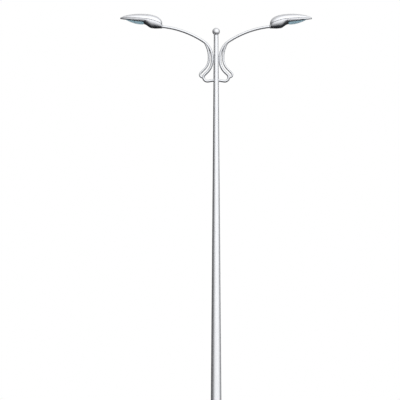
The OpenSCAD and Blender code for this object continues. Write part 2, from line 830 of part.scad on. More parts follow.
both(-1) at_lamp() gasket();  // gasket_left
both(1) at_lamp() reflector();  // reflector_right
both(-1) at_lamp() reflector();  // reflector_left
both(1) at_lamp() lampholder();  // lampholder_right
both(-1) at_lamp() lampholder();  // lampholder_left
both(1) at_lamp() bulb();  // bulb_right
both(-1) at_lamp() bulb();  // bulb_left
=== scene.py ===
"""Finishes, lamp housings, welds, fixings and stage of a double-arm street lighting column."""

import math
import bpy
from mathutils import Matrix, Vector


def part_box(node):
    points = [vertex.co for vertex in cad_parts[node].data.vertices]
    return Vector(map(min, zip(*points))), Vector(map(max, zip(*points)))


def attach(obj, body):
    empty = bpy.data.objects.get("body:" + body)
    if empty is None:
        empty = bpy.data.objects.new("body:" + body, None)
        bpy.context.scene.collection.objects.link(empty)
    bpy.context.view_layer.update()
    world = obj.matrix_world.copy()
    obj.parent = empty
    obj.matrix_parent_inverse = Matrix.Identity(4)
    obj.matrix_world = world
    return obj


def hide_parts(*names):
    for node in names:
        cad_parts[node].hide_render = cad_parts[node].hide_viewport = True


bl_info = {
    "name": "Double-Arm Lighting Column",
    "version": (1, 0, 0),
    "blender": (4, 5, 0),
    "location": "View3D > Sidebar > Column",
    "description": "Dresses the packed lighting column and sets up its picture",
    "category": "Object",
}

import bmesh
import bpy
from bpy.props import FloatProperty, FloatVectorProperty, PointerProperty
from mathutils import Matrix, Vector
from mathutils.kdtree import KDTree

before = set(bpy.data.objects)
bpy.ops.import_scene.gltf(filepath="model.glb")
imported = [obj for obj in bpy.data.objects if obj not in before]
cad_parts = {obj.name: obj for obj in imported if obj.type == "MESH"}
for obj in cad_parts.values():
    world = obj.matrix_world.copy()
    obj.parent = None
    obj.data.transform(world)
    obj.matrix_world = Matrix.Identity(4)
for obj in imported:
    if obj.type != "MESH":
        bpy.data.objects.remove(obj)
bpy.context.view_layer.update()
SHAFT_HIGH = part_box("shaft")[1]
PLATE_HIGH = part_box("base_plate")[1]
CAP_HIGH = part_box("top_cap")[1]


def length(label, text, default):
    """A size in metres."""
    return FloatProperty(
        name=label, description=text, default=default, min=0.0, precision=4, unit="LENGTH"
    )


def turn(label, text, degrees):
    """An angle, given in degrees."""
    return FloatProperty(
        name=label, description=text, default=math.radians(degrees), subtype="ANGLE"
    )


def level(label, text, default, top=1.0):
    """A plain number from 0."""
    return FloatProperty(name=label, description=text, default=default, min=0.0, max=top)


def colour(label, text, value):
    """A linear colour."""
    return FloatVectorProperty(
        name=label, description=text, default=value, size=3, min=0.0, max=1.0, subtype="COLOR"
    )


class ColumnSizes(bpy.types.PropertyGroup):
    """Sizes of the shaft, its foot and its door."""

    base_d: length("Foot diameter", "Outside diameter of the shaft's foot", 2 * SHAFT_HIGH.x)
    top_d: length("Top diameter", "Outside diameter of the shaft's top", 0.128)
    top_z: length("Top", "Height of the shaft's top edge", SHAFT_HIGH.z)
    wall: length("Wall", "Wall of the shaft", 0.005)
    plate_t: length("Plate thickness", "Thickness of the base plate", PLATE_HIGH.z)
    ball_seat_r: length("Ball seat", "Radius of the flat on which the ball stands", 0.05)
    bead_leg: length("Foot weld leg", "Leg of the weld bead round the shaft's foot", 0.01)
    bolt_spacing: length("Bolt spacing", "Distance between neighbouring anchor bolts", 0.4)
    bolt_d: length("Bolt diameter", "Thread diameter of an anchor bolt", 0.03)
    bolt_pitch: length("Thread pitch", "Pitch of an anchor bolt's thread", 0.0035)
    bolt_end: length("Bolt end", "Height of an anchor bolt's end above the ground", 0.112)
    rib_reach: length("Rib reach", "Distance of the ribs' toes from the axis", 0.245)
    rib_h: length("Rib height", "Height of the ribs above the ground", 0.205)
    rib_t: length("Rib thickness", "Thickness of a rib", 0.012)
    door_z: length("Door height", "Height of the middle of the door", 0.85)
    door_h: length("Door length", "Height of the door frame outside", 0.46)
    door_w: length("Door width", "Width of the door frame outside", 0.13)
    door_gap: length("Door gap", "Gap between the door frame and the shaft", 0.0003)


class ArmSizes(bpy.types.PropertyGroup):
    """Sizes of the bent arms and of the scroll tubes beside them."""

    arm_d: length("Arm diameter", "Outside diameter of an arm tube", 0.076)
    waist_drop: length("Waist drop", "Distance of the arms' waist below the top", 0.632)
    waist_l: length("Waist length", "Straight stretch of an arm along the shaft", 0.068)
    shoulder_r: length("Shoulder radius", "Radius of the shoulder above the waist", 0.56)
    shoulder_a: turn("Shoulder turn", "Turn of the shoulder", 57)
    sweep_r: length("Sweep radius", "Radius of the long sweep out to the lamp", 2.57)
    sweep_a: turn("Sweep turn", "Turn of the long sweep", 27)
    flare_r: length("Flare radius", "Radius of the flare below the waist", 0.455)
    flare_a: turn("Flare turn", "Turn of the flare", 47)
    flare_l: length("Flare length", "Straight stretch between the flare and the curl", 0.085)
    curl_r: length("Curl radius", "Radius of the curl back to the shaft", 0.109)
    curl_a: turn("Curl turn", "Turn of the curl", 146)
    scroll_d: length("Scroll diameter", "Outside diameter of a scroll tube", 0.06)
    scroll_gap: length("Scroll gap", "Gap between arm and scroll at the waist", 0.022)
    scroll_waist_l: length("Scroll waist", "Straight stretch of a scroll at the waist", 0.043)
    scroll_lift: length("Scroll lift", "How far it starts above the arm's own stretch", 0.025)
    scroll_top_r: length("Scroll top radius", "Radius of a scroll above its waist", 0.751)
    scroll_flare_r: length("Scroll flare radius", "Radius of a scroll's flare", 0.405)
    scroll_flare_a: turn("Scroll flare turn", "Turn of a scroll's flare", 45.5)
    scroll_flare_l: length("Scroll flare length", "Straight stretch below that flare", 0.147)
    scroll_curl_r: length("Scroll curl radius", "Radius of a scroll's curl to the arm", 0.075)


class LampSizes(bpy.types.PropertyGroup):
    """Sizes of a lamp and what is in it; heights are above the arm's end, places along it."""

    lamp_l: length("Length", "Length of the lamp housing", 1.186)
    half_w: length("Half-width", "Half of the housing's greatest width", 0.205)
    crest_u: length("Crest", "Distance of the widest and highest place from the rear", 0.43)
    top_v: length("Top", "Height of the housing's top", 0.3)
    crease_v: length("Crease", "Height of the side crease", 0.154)
    rim_v: length("Rim", "Height of the glass frame's top", 0.11)
    rear_half_w: length("Rear half-width", "Half of the housing's width at its rear", 0.068)
    rear_top_v: length("Rear top", "Height of the housing's top at its rear", 0.07)
    rear_crease_v: length("Rear crease", "Height of the side crease at its rear", 0.052)
    rear_lip: length("Rear lip", "How far the rear stands out below its sleeve", 0.006)
    flank_tuck: length("Flank tuck", "How far each flank is drawn in at the rim", 0.042)
    tip_half_w: length("Tip half-width", "Half of the width of the blunt tip", 0.009)
    tip_h: length("Tip height", "Height of the blunt tip", 0.01)
    pan_depth: length("Pan depth", "Depth of the gear pan below the arm's end", 0.073)
    pan_swell_l: length("Pan swell", "Length over which the pan swells to that depth", 0.2)
    pan_front_v: length("Pan front", "Height of the gear pan's front edge", 0.014)
    pan_rise_u: length("Pan rise", "Where the gear pan starts to rise", 0.29)
    pan_end_u: length("Pan end", "Where the pan ends and the glass frame starts", 0.51)
    shell_wall: length("Shell wall", "Wall of the housing", 0.003)
    ledge: length("Crease ledge", "Width of the ledge along the side crease", 0.009)
    # Painted shadow: height of the black strip along the crease, which stands in for its shadow
    # line
    crease_seal: length("Crease seal", "Height of the seal along the crease", 0.0095)
    casting_t: length("Casting thickness", "Thickness of the rear casting's plate", 0.012)
    casting_round: length("Casting rounding", "Rounding of the rear casting's edge", 0.0095)
    sleeve_l: length("Sleeve length", "Length of the rear casting's sleeve", 0.13)
    sleeve_r: length("Sleeve radius", "Outside radius of that sleeve", 0.0468)
    sleeve_bore_r: length("Sleeve bore", "Inside radius of that sleeve", 0.0388)
    ring_t: length("Frame thickness", "Thickness of the glass frame", 0.02)
    drip_h: length("Drip edge height", "Height of the silver edge over that frame", 0.006)
    drip_t: length("Drip edge thickness", "Thickness of the silver edge", 0.0008)
    bulkhead_t: length("Bulkhead", "Thickness of the wall between pan and bowl", 0.009)
    bowl_l: length("Bowl length", "Length of the glass bowl", 0.55)
    bowl_half_w: length("Bowl half-width", "Half of the glass bowl's width", 0.14)
    bowl_depth: length("Bowl depth", "Depth of the glass bowl below the rim", 0.113)
    bowl_wall: length("Bowl wall", "Wall of the glass bowl", 0.004)
    gasket_t: length("Gasket", "Thickness of the gasket on the glass frame", 0.003)
    reflector_h: length("Reflector height", "Height of the reflector above the gasket", 0.11)
    reflector_wall: length("Reflector sheet", "Sheet of the reflector", 0.002)
    holder_l: length("Holder length", "Length of the lampholder", 0.055)
    bulb_v: length("Bulb axis", "Height of the bulb's axis above the gasket", 0.048)
    bulb_d: length("Bulb diameter", "Diameter of the bulb", 0.046)
    bulb_l: length("Bulb length", "Length of the bulb past its holder", 0.25)


class FinishColours(bpy.types.PropertyGroup):
    """Colours of the finishes."""

    paint: colour("Column paint", "Gloss silver white of column and arms", (0.73, 0.74, 0.765))
    housing: colour("Housing paint", "Gloss silver of the lamp housings", (0.75, 0.76, 0.79))
    # Painted shade: near-black for pans and glass frames, where the lower housing is in shade
    dark: colour("Dark paint", "Satin paint of pans and glass frames", (0.022, 0.024, 0.03))
    grime: colour("Grime", "Rain marks and road dirt", (0.33, 0.32, 0.3))
    # Painted shade: the grey that the undersides of arms and scrolls are darkened towards
    underside_shade: colour("Soot", "Film on undersides, which no rain washes", (0.3, 0.31, 0.33))
    steel: colour("Stainless steel", "Screws, nuts and bars", (0.6, 0.6, 0.61))
    zinc: colour("Zinc", "Galvanised anchor bolts and nuts", (0.5, 0.52, 0.54))
    glass: colour("Bowl glass", "Blue-green cast of the glass bowls", (0.475, 0.59, 0.64))
    rubber: colour("Rubber", "Gaskets and seals", (0.035, 0.035, 0.036))
    mirror: colour("Reflector", "Bright anodised sheet", (0.86, 0.87, 0.88))
    ceramic: colour("Ceramic", "White glaze of the lampholders", (0.84, 0.83, 0.79))
    pearl: colour("Pearl glass", "Coating of the bulbs", (0.93, 0.93, 0.91))
    floor: colour("Floor", "Floor as a source of light", (0.38, 0.38, 0.39))


class StageSettings(bpy.types.PropertyGroup):
    """Camera and light; side angles are to the right of the camera."""

    view_w: length("View width", "Width of the picture at the column", 11.112)
    view_x: FloatProperty(
        name="View centre", description="Middle of the picture along X", default=-0.447,
        unit="LENGTH",
    )
    view_z: length("View height", "Middle of the picture above the ground", 7.112)
    view_distance: length("Distance", "Distance of the camera from the column", 60.0)
    key: level("Key light", "Strength of the soft key light", 3.1, 20)
    key_side: turn("Key side", "Side angle of the key light", 22)
    key_height: turn("Key height", "Height angle of the key light", 30)
    key_softness: turn("Key softness", "Angle that the key light fills", 14)
    back: level("Back light", "Strength of the weaker light from behind", 1.5, 20)
    back_side: turn("Back side", "Side angle of the back light", 140)
    ambient: level("Ambient", "Light from all round", 0.12, 5)
    floor_r: length("Floor radius", "Radius of the floor", 14.0)
    room_r: length("Room radius", "Radius of the room that only reflections show", 300.0)
    room_dark: level("Room darkness", "Brightness of the room's darkest parts", 0.055)
    room_front: level("Room front", "Brightness of its front", 1.0, 5)
    room_ceiling: level("Room ceiling", "Brightness of its ceiling", 0.65, 5)
    room_lamp: level("Room lamp", "Added brightness of the wide lamp in its front", 0.62, 5)
    room_back: level("Room back", "Added brightness of a wide lamp behind", 0.45, 5)
    room_side: turn("Room side", "Side angle of the room's front", 21)
    room_lamp_height: turn("Room lamp height", "Height angle of the wide lamp", 30)


# Materials


class Value:
    """A shader socket that takes part in Python arithmetic."""

    def __init__(self, finish, socket):
        self.finish = finish
        self.socket = socket

    def _math(self, operation, first, second):
        return self.finish.node(
            "ShaderNodeMath", {"operation": operation}, {0: first, 1: second}
        )

    def __add__(self, other):
        return self._math("ADD", self, other)

    def __sub__(self, other):
        return self._math("SUBTRACT", self, other)

    def __rsub__(self, other):
        return self._math("SUBTRACT", other, self)

    def __mul__(self, other):
        return self._math("MULTIPLY", self, other)

    def __truediv__(self, other):
        return self._math("DIVIDE", self, other)

    def __pow__(self, other):
        return self._math("POWER", self, other)

    def __abs__(self):
        return self._math("ABSOLUTE", self, 0.0)

    __radd__ = __add__
    __rmul__ = __mul__


class Finish:
    """One node tree, of a material or of the world, and the ways to fill it."""

    def __init__(self, owner):
        owner.use_nodes = True
        self.tree = owner.node_tree
        self.tree.nodes.clear()

    def node(self, kind, settings=None, inputs=None, output=0):
        """Adds a node: its settings first, then the values or links of its sockets."""
        made = self.tree.nodes.new(kind)
        for key, value in (settings or {}).items():
            setattr(made, key, value)
        for key, value in (inputs or {}).items():
            socket = made.inputs[key]
            if isinstance(value, Value):
                self.tree.links.new(value.socket, socket)
            elif socket.type == "RGBA" and len(value) == 3:
                socket.default_value = (*value, 1.0)
            else:
                socket.default_value = value
        return Value(self, made.outputs[output]) if made.outputs else made

    def place(self, scale=(1, 1, 1)):
        """Object coordinates, scaled along each axis."""
        spot = self.node("ShaderNodeTexCoord", output="Object")
        return self.node(
            "ShaderNodeMapping", {"vector_type": "POINT"}, {"Vector": spot, "Scale": scale}
        )

    def axes(self, vector):
        """The three numbers of a vector."""
        return [self.node("ShaderNodeSeparateXYZ", None, {0: vector}, axis) for axis in range(3)]

    def upward(self):
        """How far the surface faces up, from -1 to 1."""
        return self.axes(self.node("ShaderNodeNewGeometry", output="Normal"))[2]

    def noise(self, scale, detail=2.0, place=(1, 1, 1)):
        """Soft noise from 0 to 1."""
        return self.node(
            "ShaderNodeTexNoise",
            {"noise_dimensions": "3D"},
            {"Vector": self.place(place), "Scale": scale, "Detail": detail, "Roughness": 0.5},
        )

    def cells(self, scale):
        """Distance to the nearest of many scattered points."""
        return self.node(
            "ShaderNodeTexVoronoi", {"feature": "F1"}, {"Vector": self.place(), "Scale": scale}
        )

    def between(self, value, low, high):
        """A soft step from 0 at low to 1 at high."""
        return self.node(
            "ShaderNodeMapRange",
            {"interpolation_type": "SMOOTHSTEP"},
            {"Value": value, "From Min": low, "From Max": high},
        )

    def mix(self, share, first, second):
        """Goes from the first colour to the second."""
        return self.node(
            "ShaderNodeMix",
            {"data_type": "RGBA", "clamp_factor": True},
            {0: share, 6: first, 7: second},
            2,
        )

    def surface(self, base, roughness, height, depth, metal=0.0, coat=(0.0, 0.03), more=None):
        """The usual shader, with a bump of that height and depth in metres, and a coat."""
        bump = self.node("ShaderNodeBump", None, {"Height": height, "Distance": depth})
        inputs = {
            "Base Color": base, "Roughness": roughness, "Metallic": metal, "Normal": bump,
            "Coat Weight": coat[0], "Coat Roughness": coat[1],
        }
        shader = self.node("ShaderNodeBsdfPrincipled", None, {**inputs, **(more or {})})
        self.node("ShaderNodeOutputMaterial", None, {"Surface": shader})


# The column's paint: weight and roughness of its coat, and the noise and depth of its peel
PAINT_COAT = (0.2, 0.12)
ORANGE_PEEL = (260, 2)
PEEL_DEPTH = 0.00007


def rained_paint(make, colours):
    """What all of the column's gloss paint shares: its blotches, rain marks and clean colour."""
    blotch = make.noise(1.7, 3)
    rain = make.between(make.noise(1.0, 4, (17, 17, 0.5)), 0.5, 0.78) * 0.1
    dull = [0.93 * part for part in colours.paint]
    return blotch, rain, make.mix(blotch * 0.5, colours.paint, dull)


def column_paint(make, colours, seam=False):
    """Gloss paint over steel, with orange peel, faint rain marks and dirt near the ground."""
    blotch, rain, clean = rained_paint(make, colours)
    across, behind, height = make.axes(make.place())
    foot = (1 - make.between(height, 0.03, 0.75)) * make.between(make.noise(11, 5), 0.3, 0.7)
    dirt = rain + foot * 0.5
    peel, depth = make.noise(*ORANGE_PEEL), PEEL_DEPTH
    if seam:
        line = (1 - make.between(abs(across), 0.0015, 0.0045)) * make.between(behind, 0.0, 0.02)
        peel = peel * 0.15 + line * (2 + make.noise(1.0, 1, (30, 30, 160)))
        depth = 0.0004
    base = make.mix(dirt, clean, colours.grime)
    make.surface(base, 0.28 + blotch * 0.08 + dirt * 0.35, peel, depth, 0.7, PAINT_COAT)


def shaft_paint(make, colours):
    """The column's paint, with the shaft's long weld seam down its back."""
    column_paint(make, colours, seam=True)


def arm_paint(make, colours):
    """The column's paint on arms and scrolls, with painted shade: darker and greyer towards the
    undersides.
    """
    blotch, rain, clean = rained_paint(make, colours)
    # Painted shade: downward-facing normals, with a little noise, darken the undersides towards a
    # grey
    under = 1 - make.between(make.upward() + make.noise(45, 3) * 0.1, -0.27, 0.25)
    base = make.mix(under, make.mix(rain, clean, colours.grime), colours.underside_shade)
    roughness = 0.22 + blotch * 0.08 + under * 0.38
    make.surface(base, roughness, make.noise(*ORANGE_PEEL), PEEL_DEPTH, 0.93, PAINT_COAT)


def housing_paint(make, colours):
    """Finer silver paint on the die-cast lamp housings, with settled dust on top."""
    lying = make.between(make.upward(), 0.35, 1.0)
    dust = lying * make.between(make.noise(6, 4), 0.35, 0.75) * 0.16
    rain = make.between(make.noise(1.0, 4, (34, 34, 3)), 0.55, 0.8) * 0.1
    flake = make.noise(900, 1)
    clean = make.mix(flake * 0.25, colours.housing, (0.6, 0.61, 0.64))
    base = make.mix(dust + rain, clean, colours.grime)
    roughness = 0.27 + flake * 0.06 + dust * 0.8
    make.surface(base, roughness, make.noise(420, 2), 0.00008, 0.72, (0.2, 0.08))


def dark_paint(make, colours):
    """Satin powder coat, greyer where dust has settled; its near-black on pans and glass frames is
    painted shade of the housing's underside.
    """
    grain = make.noise(1400, 2)
    dust = make.between(make.noise(8, 5), 0.45, 0.8)
    base = make.mix(dust * 0.12, colours.dark, colours.grime)
    height = grain * 0.6 + make.noise(330, 1) * 0.6
    more = {"Specular IOR Level": 0.35}
    make.surface(base, 0.48 + grain * 0.14, height, 0.00015, more=more)


def weld_paint(make, colours):
    """The column's paint over weld beads, a little darker in its ripples."""
    ripple = make.noise(330, 3)
    base = make.mix(make.between(ripple, 0.45, 0.75) * 0.4, colours.paint, colours.grime)
    make.surface(base, 0.38 + ripple * 0.12, ripple, 0.0005, 0.65, (0.25, 0.2))


def stainless(make, colours):
    """Brushed stainless steel."""
    brushed = make.noise(1.0, 3, (2600, 2600, 90))
    stain = make.between(make.noise(45, 4), 0.5, 0.8)
    base = make.mix(stain * 0.3, colours.steel, (0.4, 0.37, 0.33))
    make.surface(base, 0.24 + brushed * 0.16 + stain * 0.15, brushed, 0.00005, 1.0)


def galvanised(make, colours):
    """Dull zinc with its crystals, and rust in the odd place."""
    spangle = make.cells(240)
    rust = make.between(make.noise(60, 5), 0.62, 0.78)
    clean = make.mix(spangle, colours.zinc, (0.36, 0.38, 0.4))
    base = make.mix(rust * 0.6, clean, (0.23, 0.1, 0.045))
    roughness = 0.42 + spangle * 0.2 + rust * 0.3
    make.surface(base, roughness, spangle, 0.00012, 0.85 - rust * 0.7)


def bowl_glass(make, colours):
    """Clear blue-green glass with a breath of dust."""
    film = make.between(make.noise(9, 5), 0.45, 0.8)
    base = make.mix(film * 0.12, colours.glass, (0.62, 0.66, 0.67))
    more = {"Transmission Weight": 1.0, "IOR": 1.5}
    make.surface(base, 0.015 + film * 0.05, make.noise(30, 1), 0.0003, more=more)


def bulb_pearl(make, colours):
    """Pearl glass, a little uneven."""
    cloud = make.noise(60, 4)
    base = make.mix(cloud, colours.pearl, (0.8, 0.8, 0.78))
    more = {"Transmission Weight": 0.35, "IOR": 1.48}
    make.surface(base, 0.2 + cloud * 0.15, cloud, 0.0001, more=more)


def seal_rubber(make, colours):
    """Matt black rubber, bleached a little."""
    bloom = make.noise(70, 5)
    base = make.mix(bloom * 0.3, colours.rubber, (0.12, 0.12, 0.12))
    more = {"Specular IOR Level": 0.3}
    make.surface(base, 0.62 + bloom * 0.2, make.noise(900, 2), 0.0001, more=more)


def hammered_sheet(make, colours):
    """Bright anodised sheet with a hammered pattern."""
    base = make.mix(make.noise(25, 3) * 0.3, colours.mirror, (0.74, 0.75, 0.76))
    make.surface(base, 0.14 + make.noise(40, 2) * 0.1, make.cells(85), 0.0009, 1.0)


def glazed_ceramic(make, colours):
    """White glaze with fine specks."""
    speck = make.between(make.noise(700, 2), 0.68, 0.75)
    base = make.mix(speck * 0.5, colours.ceramic, (0.5, 0.45, 0.38))
    make.surface(base, 0.22 + speck * 0.2, make.noise(120, 2), 0.0001, coat=(0.6, 0.05))


FINISHES = {
    "gloss_column_paint": column_paint,
    "gloss_shaft_paint": shaft_paint,
    "gloss_arm_paint": arm_paint,
    "silver_housing_paint": housing_paint,
    "satin_dark_paint": dark_paint,
    "painted_weld": weld_paint,
    "brushed_stainless": stainless,
    "galvanised_zinc": galvanised,
    "blue_green_glass": bowl_glass,
    "pearl_glass": bulb_pearl,
    "black_rubber": seal_rubber,
    "hammered_reflector": hammered_sheet,
    "white_ceramic": glazed_ceramic,
}


def finish(name):
    """The material of that name, made once."""
    made = bpy.data.materials.get(name)
    if made is None:
        made = bpy.data.materials.new(name)
        FINISHES[name](Finish(made), bpy.context.scene.column_colours)
    return made


def coat(name, *nodes):
    """Gives CAD nodes their finish."""
    for node in nodes:
        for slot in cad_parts[node].material_slots:
            slot.material = finish(name)


# Shaping

# Degrees between faces below which they shade as one; how near two points merge; and the
# rounding of a cut plate's edges
SMOOTH_UNDER = 35
MERGE = 1e-6
MERGE_CAD = 1e-5
PLATE_EDGE = 0.0015


def link(name, data):
    """Puts an object with that data into the scene."""
    made = bpy.data.objects.new(name, data)
    bpy.context.scene.collection.objects.link(made)
    return made


def mesh_of(name, bm):
    """The mesh of a finished shape."""
    mesh = bpy.data.meshes.new(name)
    bm.to_mesh(mesh)
    bm.free()
    return mesh


def shape_of(mesh):
    """A shape to work on, with that mesh in it."""
    bm = bmesh.new()
    bm.from_mesh(mesh)
    return bm


def settled(made):
    """The shape that an object has once its modifiers or its curve's bevel have worked."""
    bpy.context.view_layer.update()
    graph = bpy.context.evaluated_depsgraph_get()
    mesh = bpy.data.meshes.new_from_object(made.evaluated_get(graph))
    bm = shape_of(mesh)
    bpy.data.meshes.remove(mesh)
    return bm


def piece(name, bm, finish_name, slot, node=None, sharp=SMOOTH_UNDER):
    """Makes a shape an object of the model, which may replace a CAD node."""
    bmesh.ops.remove_doubles(bm, verts=bm.verts, dist=MERGE)
    mesh = mesh_of(name, bm)
    mesh.shade_smooth()
    mesh.set_sharp_from_angle(angle=math.radians(sharp))
    mesh.materials.append(finish(finish_name))
    made = link(name, mesh)
    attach(made, "root")
    if node:
        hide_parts(node)
    return made


def finished(node, bm, finish_name, slot, sharp=SMOOTH_UNDER):
    """Makes a shape the piece that replaces a CAD node."""
    return piece(node + "_finished", bm, finish_name, slot, node, sharp)


def add(bm, part, *places):
    """Puts a finished part into a shape, once at each place."""
    source = mesh_of("part", part)
    for place in places:
        copy = source.copy()
        copy.transform(place)
        if place.determinant() < 0:
            copy.flip_normals()
        bm.from_mesh(copy)
        bpy.data.meshes.remove(copy)
    bpy.data.meshes.remove(source)


def spin(bm, profile, closed, steps, angle=math.tau, lift=0.0, full=True):
    """Turns a profile, given as (radius, height) points, about Z into a shape."""
    verts = [bm.verts.new((r, 0, z)) for r, z in profile]
    ahead = verts[1:] + verts[:1] if closed else verts[1:]
    edges = [bm.edges.new(pair) for pair in zip(verts, ahead)]
    bmesh.ops.spin(
        bm, geom=verts + edges, cent=(0, 0, 0), axis=(0, 0, 1), dvec=(0, 0, lift), angle=angle,
        space=Matrix(), steps=steps, use_merge=full, use_normal_flip=False, use_duplicate=False,
    )


def lathe(profile, steps=48, closed=True):
    """A solid of revolution; its profile is a ring unless it starts and ends on the axis."""
    bm = bmesh.new()
    spin(bm, profile, closed, steps)
    bmesh.ops.remove_doubles(bm, verts=bm.verts, dist=MERGE)
    bmesh.ops.recalc_face_normals(bm, faces=bm.faces)
    return bm


def round_edges(bm, edges, width, segments):
    """Bevels some edges."""
    bmesh.ops.bevel(
        bm, geom=edges, offset=width, offset_type="OFFSET", affect="EDGES", segments=segments,
        profile=0.5, material=-1, clamp_overlap=True,
    )


def soften(bm, width, sharp=SMOOTH_UNDER, segments=2):
    """Bevels the edges at which faces meet sharply."""
    edges = [
        edge for edge in bm.edges
        if len(edge.link_faces) == 2 and edge.calc_face_angle(0) > math.radians(sharp)
    ]
    round_edges(bm, edges, width, segments)


def close(bm):
    """Closes the open ends of a shape and turns its faces outwards."""
    rims = [edge for edge in bm.edges if edge.is_boundary]
    bmesh.ops.holes_fill(bm, edges=rims, sides=0)
    bmesh.ops.recalc_face_normals(bm, faces=bm.faces)
    return bm


def plate(outlines, thickness):
    """A flat plate in XY, from z 0 up: its first outline is outside, the others are holes."""
    bm = bmesh.new()
    for points in outlines:
        loop = bmesh.ops.create_circle(bm, cap_ends=False, radius=1, segments=len(points))["verts"]
        for vert, (x, y) in zip(loop, points):
            vert.co = (x, y, 0)
    filled = bmesh.ops.triangle_fill(
        bm, use_beauty=True, use_dissolve=False, edges=bm.edges[:]
    )["geom"]
    faces = [part for part in filled if isinstance(part, bmesh.types.BMFace)]
    lifted = bmesh.ops.extrude_face_region(bm, geom=faces)["geom"]
    verts = [part for part in lifted if isinstance(part, bmesh.types.BMVert)]
    bmesh.ops.translate(bm, verts=verts, vec=(0, 0, thickness))
    bmesh.ops.recalc_face_normals(bm, faces=bm.faces)
    return bm


def spread(low, high, count):
    """Even steps from low to high."""
    return [low + (high - low) * i / count for i in range(count + 1)]


def circle_points(radius, count):
    """Points round a circle."""
    angles = [math.tau * i / count for i in range(count)]
    return [(radius * math.cos(a), radius * math.sin(a)) for a in angles]


def sheet(rows):
    """A sheet through rows of points."""
    bm = bmesh.new()
    last_row, last_column = len(rows) - 1, len(rows[0]) - 1
    bmesh.ops.create_grid(bm, x_segments=last_column, y_segments=last_row, size=1)
    for vert in bm.verts:
        column = round((vert.co.x + 1) / 2 * last_column)
        row = round((vert.co.y + 1) / 2 * last_row)
        vert.co = rows[row][column]
    bmesh.ops.remove_doubles(bm, verts=bm.verts, dist=MERGE_CAD)
    bmesh.ops.recalc_face_normals(bm, faces=bm.faces)
    return bm


# A point inside every lamp shell, in the lamp's own frame
MIDDLE = Vector((0.55, 0.0, 0.13))


def skin(rows, wall):
    """A sheet through rows of points, with a wall inwards from its outside."""
    bm = sheet(rows)
    outward = sum(
        (face.calc_center_median() - MIDDLE).dot(face.normal) * face.calc_area()
        for face in bm.faces
    )
    if outward < 0:
        bmesh.ops.reverse_faces(bm, faces=bm.faces)
    bmesh.ops.solidify(bm, geom=bm.faces[:], thickness=wall)
    return bm


def cut_out(shell, opening):
    """A closed shape less another one."""
    whole = link("shell", mesh_of("shell", shell))
    tool = link("opening", mesh_of("opening", opening))
    cut = whole.modifiers.new("cut", "BOOLEAN")
    cut.operation, cut.solver, cut.object = "DIFFERENCE", "EXACT", tool
    made = settled(whole)
    for used in (whole, tool):
        bpy.data.meshes.remove(used.data)
    return made


def copy_of(node, width):
    """A merged copy of a CAD node with softened edges."""
    bm = shape_of(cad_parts[node].data)
    bmesh.ops.remove_doubles(bm, verts=bm.verts, dist=MERGE_CAD)
    bmesh.ops.dissolve_limit(
        bm, angle_limit=math.radians(1), use_dissolve_boundaries=False, verts=bm.verts[:],
        edges=bm.edges[:],
    )
    soften(bm, width)
    return bm


def cone_piece(node, bm, finish_name, sizes, slope_faces=0.9):
    """A piece for a node on the shaft's cone, shaded as the true cone along its slope."""
    mesh = finished(node, bm, finish_name, "painted_steel").data
    taper = (sizes.base_d - sizes.top_d) / 2 / (sizes.top_z - sizes.plate_t)
    normals = [corner.vector.copy() for corner in mesh.corner_normals]
    for face in mesh.polygons:
        for corner in face.loop_indices:
            spot = mesh.vertices[mesh.loops[corner].vertex_index].co
            outward = Vector((spot.x, spot.y, taper * spot.xy.length)).normalized()
            along = face.normal.dot(outward)
            if abs(along) > slope_faces:
                normals[corner] = math.copysign(1, along) * outward
    mesh.normals_split_custom_set(normals)


def even(points, spacing, closed):
    """The same line with points at even steps."""
    line = points + points[:1] if closed else points
    marks = [0.0]
    for first, second in zip(line, line[1:]):
        marks.append(marks[-1] + (second - first).length)
    count = max(4, round(marks[-1] / spacing))
    made, at = [], 0
    for i in range(count if closed else count + 1):
        run = marks[-1] * i / count
        while at < len(marks) - 2 and marks[at + 1] < run:
            at += 1
        share = (run - marks[at]) / max(marks[at + 1] - marks[at], 1e-9)
        made.append(line[at].lerp(line[at + 1], share))
    return made


# The ripples of a weld bead: their length, and the points along each
RIPPLE = 0.0055
RIPPLE_STEPS = 4


def beads(name, runs, radius):
    """Weld beads along lines of points, each a (points, closed) pair, rippled as laid."""
    data = bpy.data.curves.new(name, "CURVE")
    data.dimensions = "3D"
    data.bevel_depth = radius
    data.bevel_resolution = 2
    data.use_fill_caps = True
    for points, closed in runs:
        line = even(points, RIPPLE / RIPPLE_STEPS, closed)
        spline = data.splines.new("POLY")
        spline.points.add(len(line) - 1)
        for i, (spot, point) in enumerate(zip(spline.points, line)):
            spot.co = (*point, 1)
            swell = 0.2 * abs(math.sin(math.pi * i / RIPPLE_STEPS))
            spot.radius = 0.86 + swell + 0.04 * math.sin(i * 0.61)
        spline.use_cyclic_u = closed
    bm = settled(link(name + "_line", data))
    bpy.data.curves.remove(data)
    bmesh.ops.recalc_face_normals(bm, faces=bm.faces)
    return piece(name, bm, "painted_weld", "painted_steel", sharp=60)


def screw_head(radius, height):
    """A domed screw head on a thin washer, standing on z 0, with a socket in its top."""
    profile = (
        (0, 0), (1.45, 0), (1.45, 0.22), (1, 0.26), (0.97, 0.6), (0.8, 0.92), (0.55, 1),
        (0.42, 1), (0.4, 0.5), (0, 0.42),
    )
    return lathe([(radius * r, height * z) for r, z in profile], 24, closed=False)


# Lines and outlines shared with the solids


def shaft_r(sizes, z):
    """Outside radius of the shaft at a height."""
    share = (sizes.top_z - z) / (sizes.top_z - sizes.plate_t)
    return (sizes.top_d + (sizes.base_d - sizes.top_d) * share) / 2


def ring(radius, z, count):
    """Points round the column's axis at a height."""
    return [Vector((x, y, z)) for x, y in circle_points(radius, count)]


def door_outline(sizes, grow, count=120):
    """The door frame's outline in x and z, with round ends, grown by a length."""
    half, straight = sizes.door_w / 2 + grow, (sizes.door_h - sizes.door_w) / 2
    outline = []
    for x, z in circle_points(half, count):
        end = math.copysign(straight, z if abs(z) > 1e-9 else 1)
        outline.append((x, sizes.door_z + z + end))
    return outline


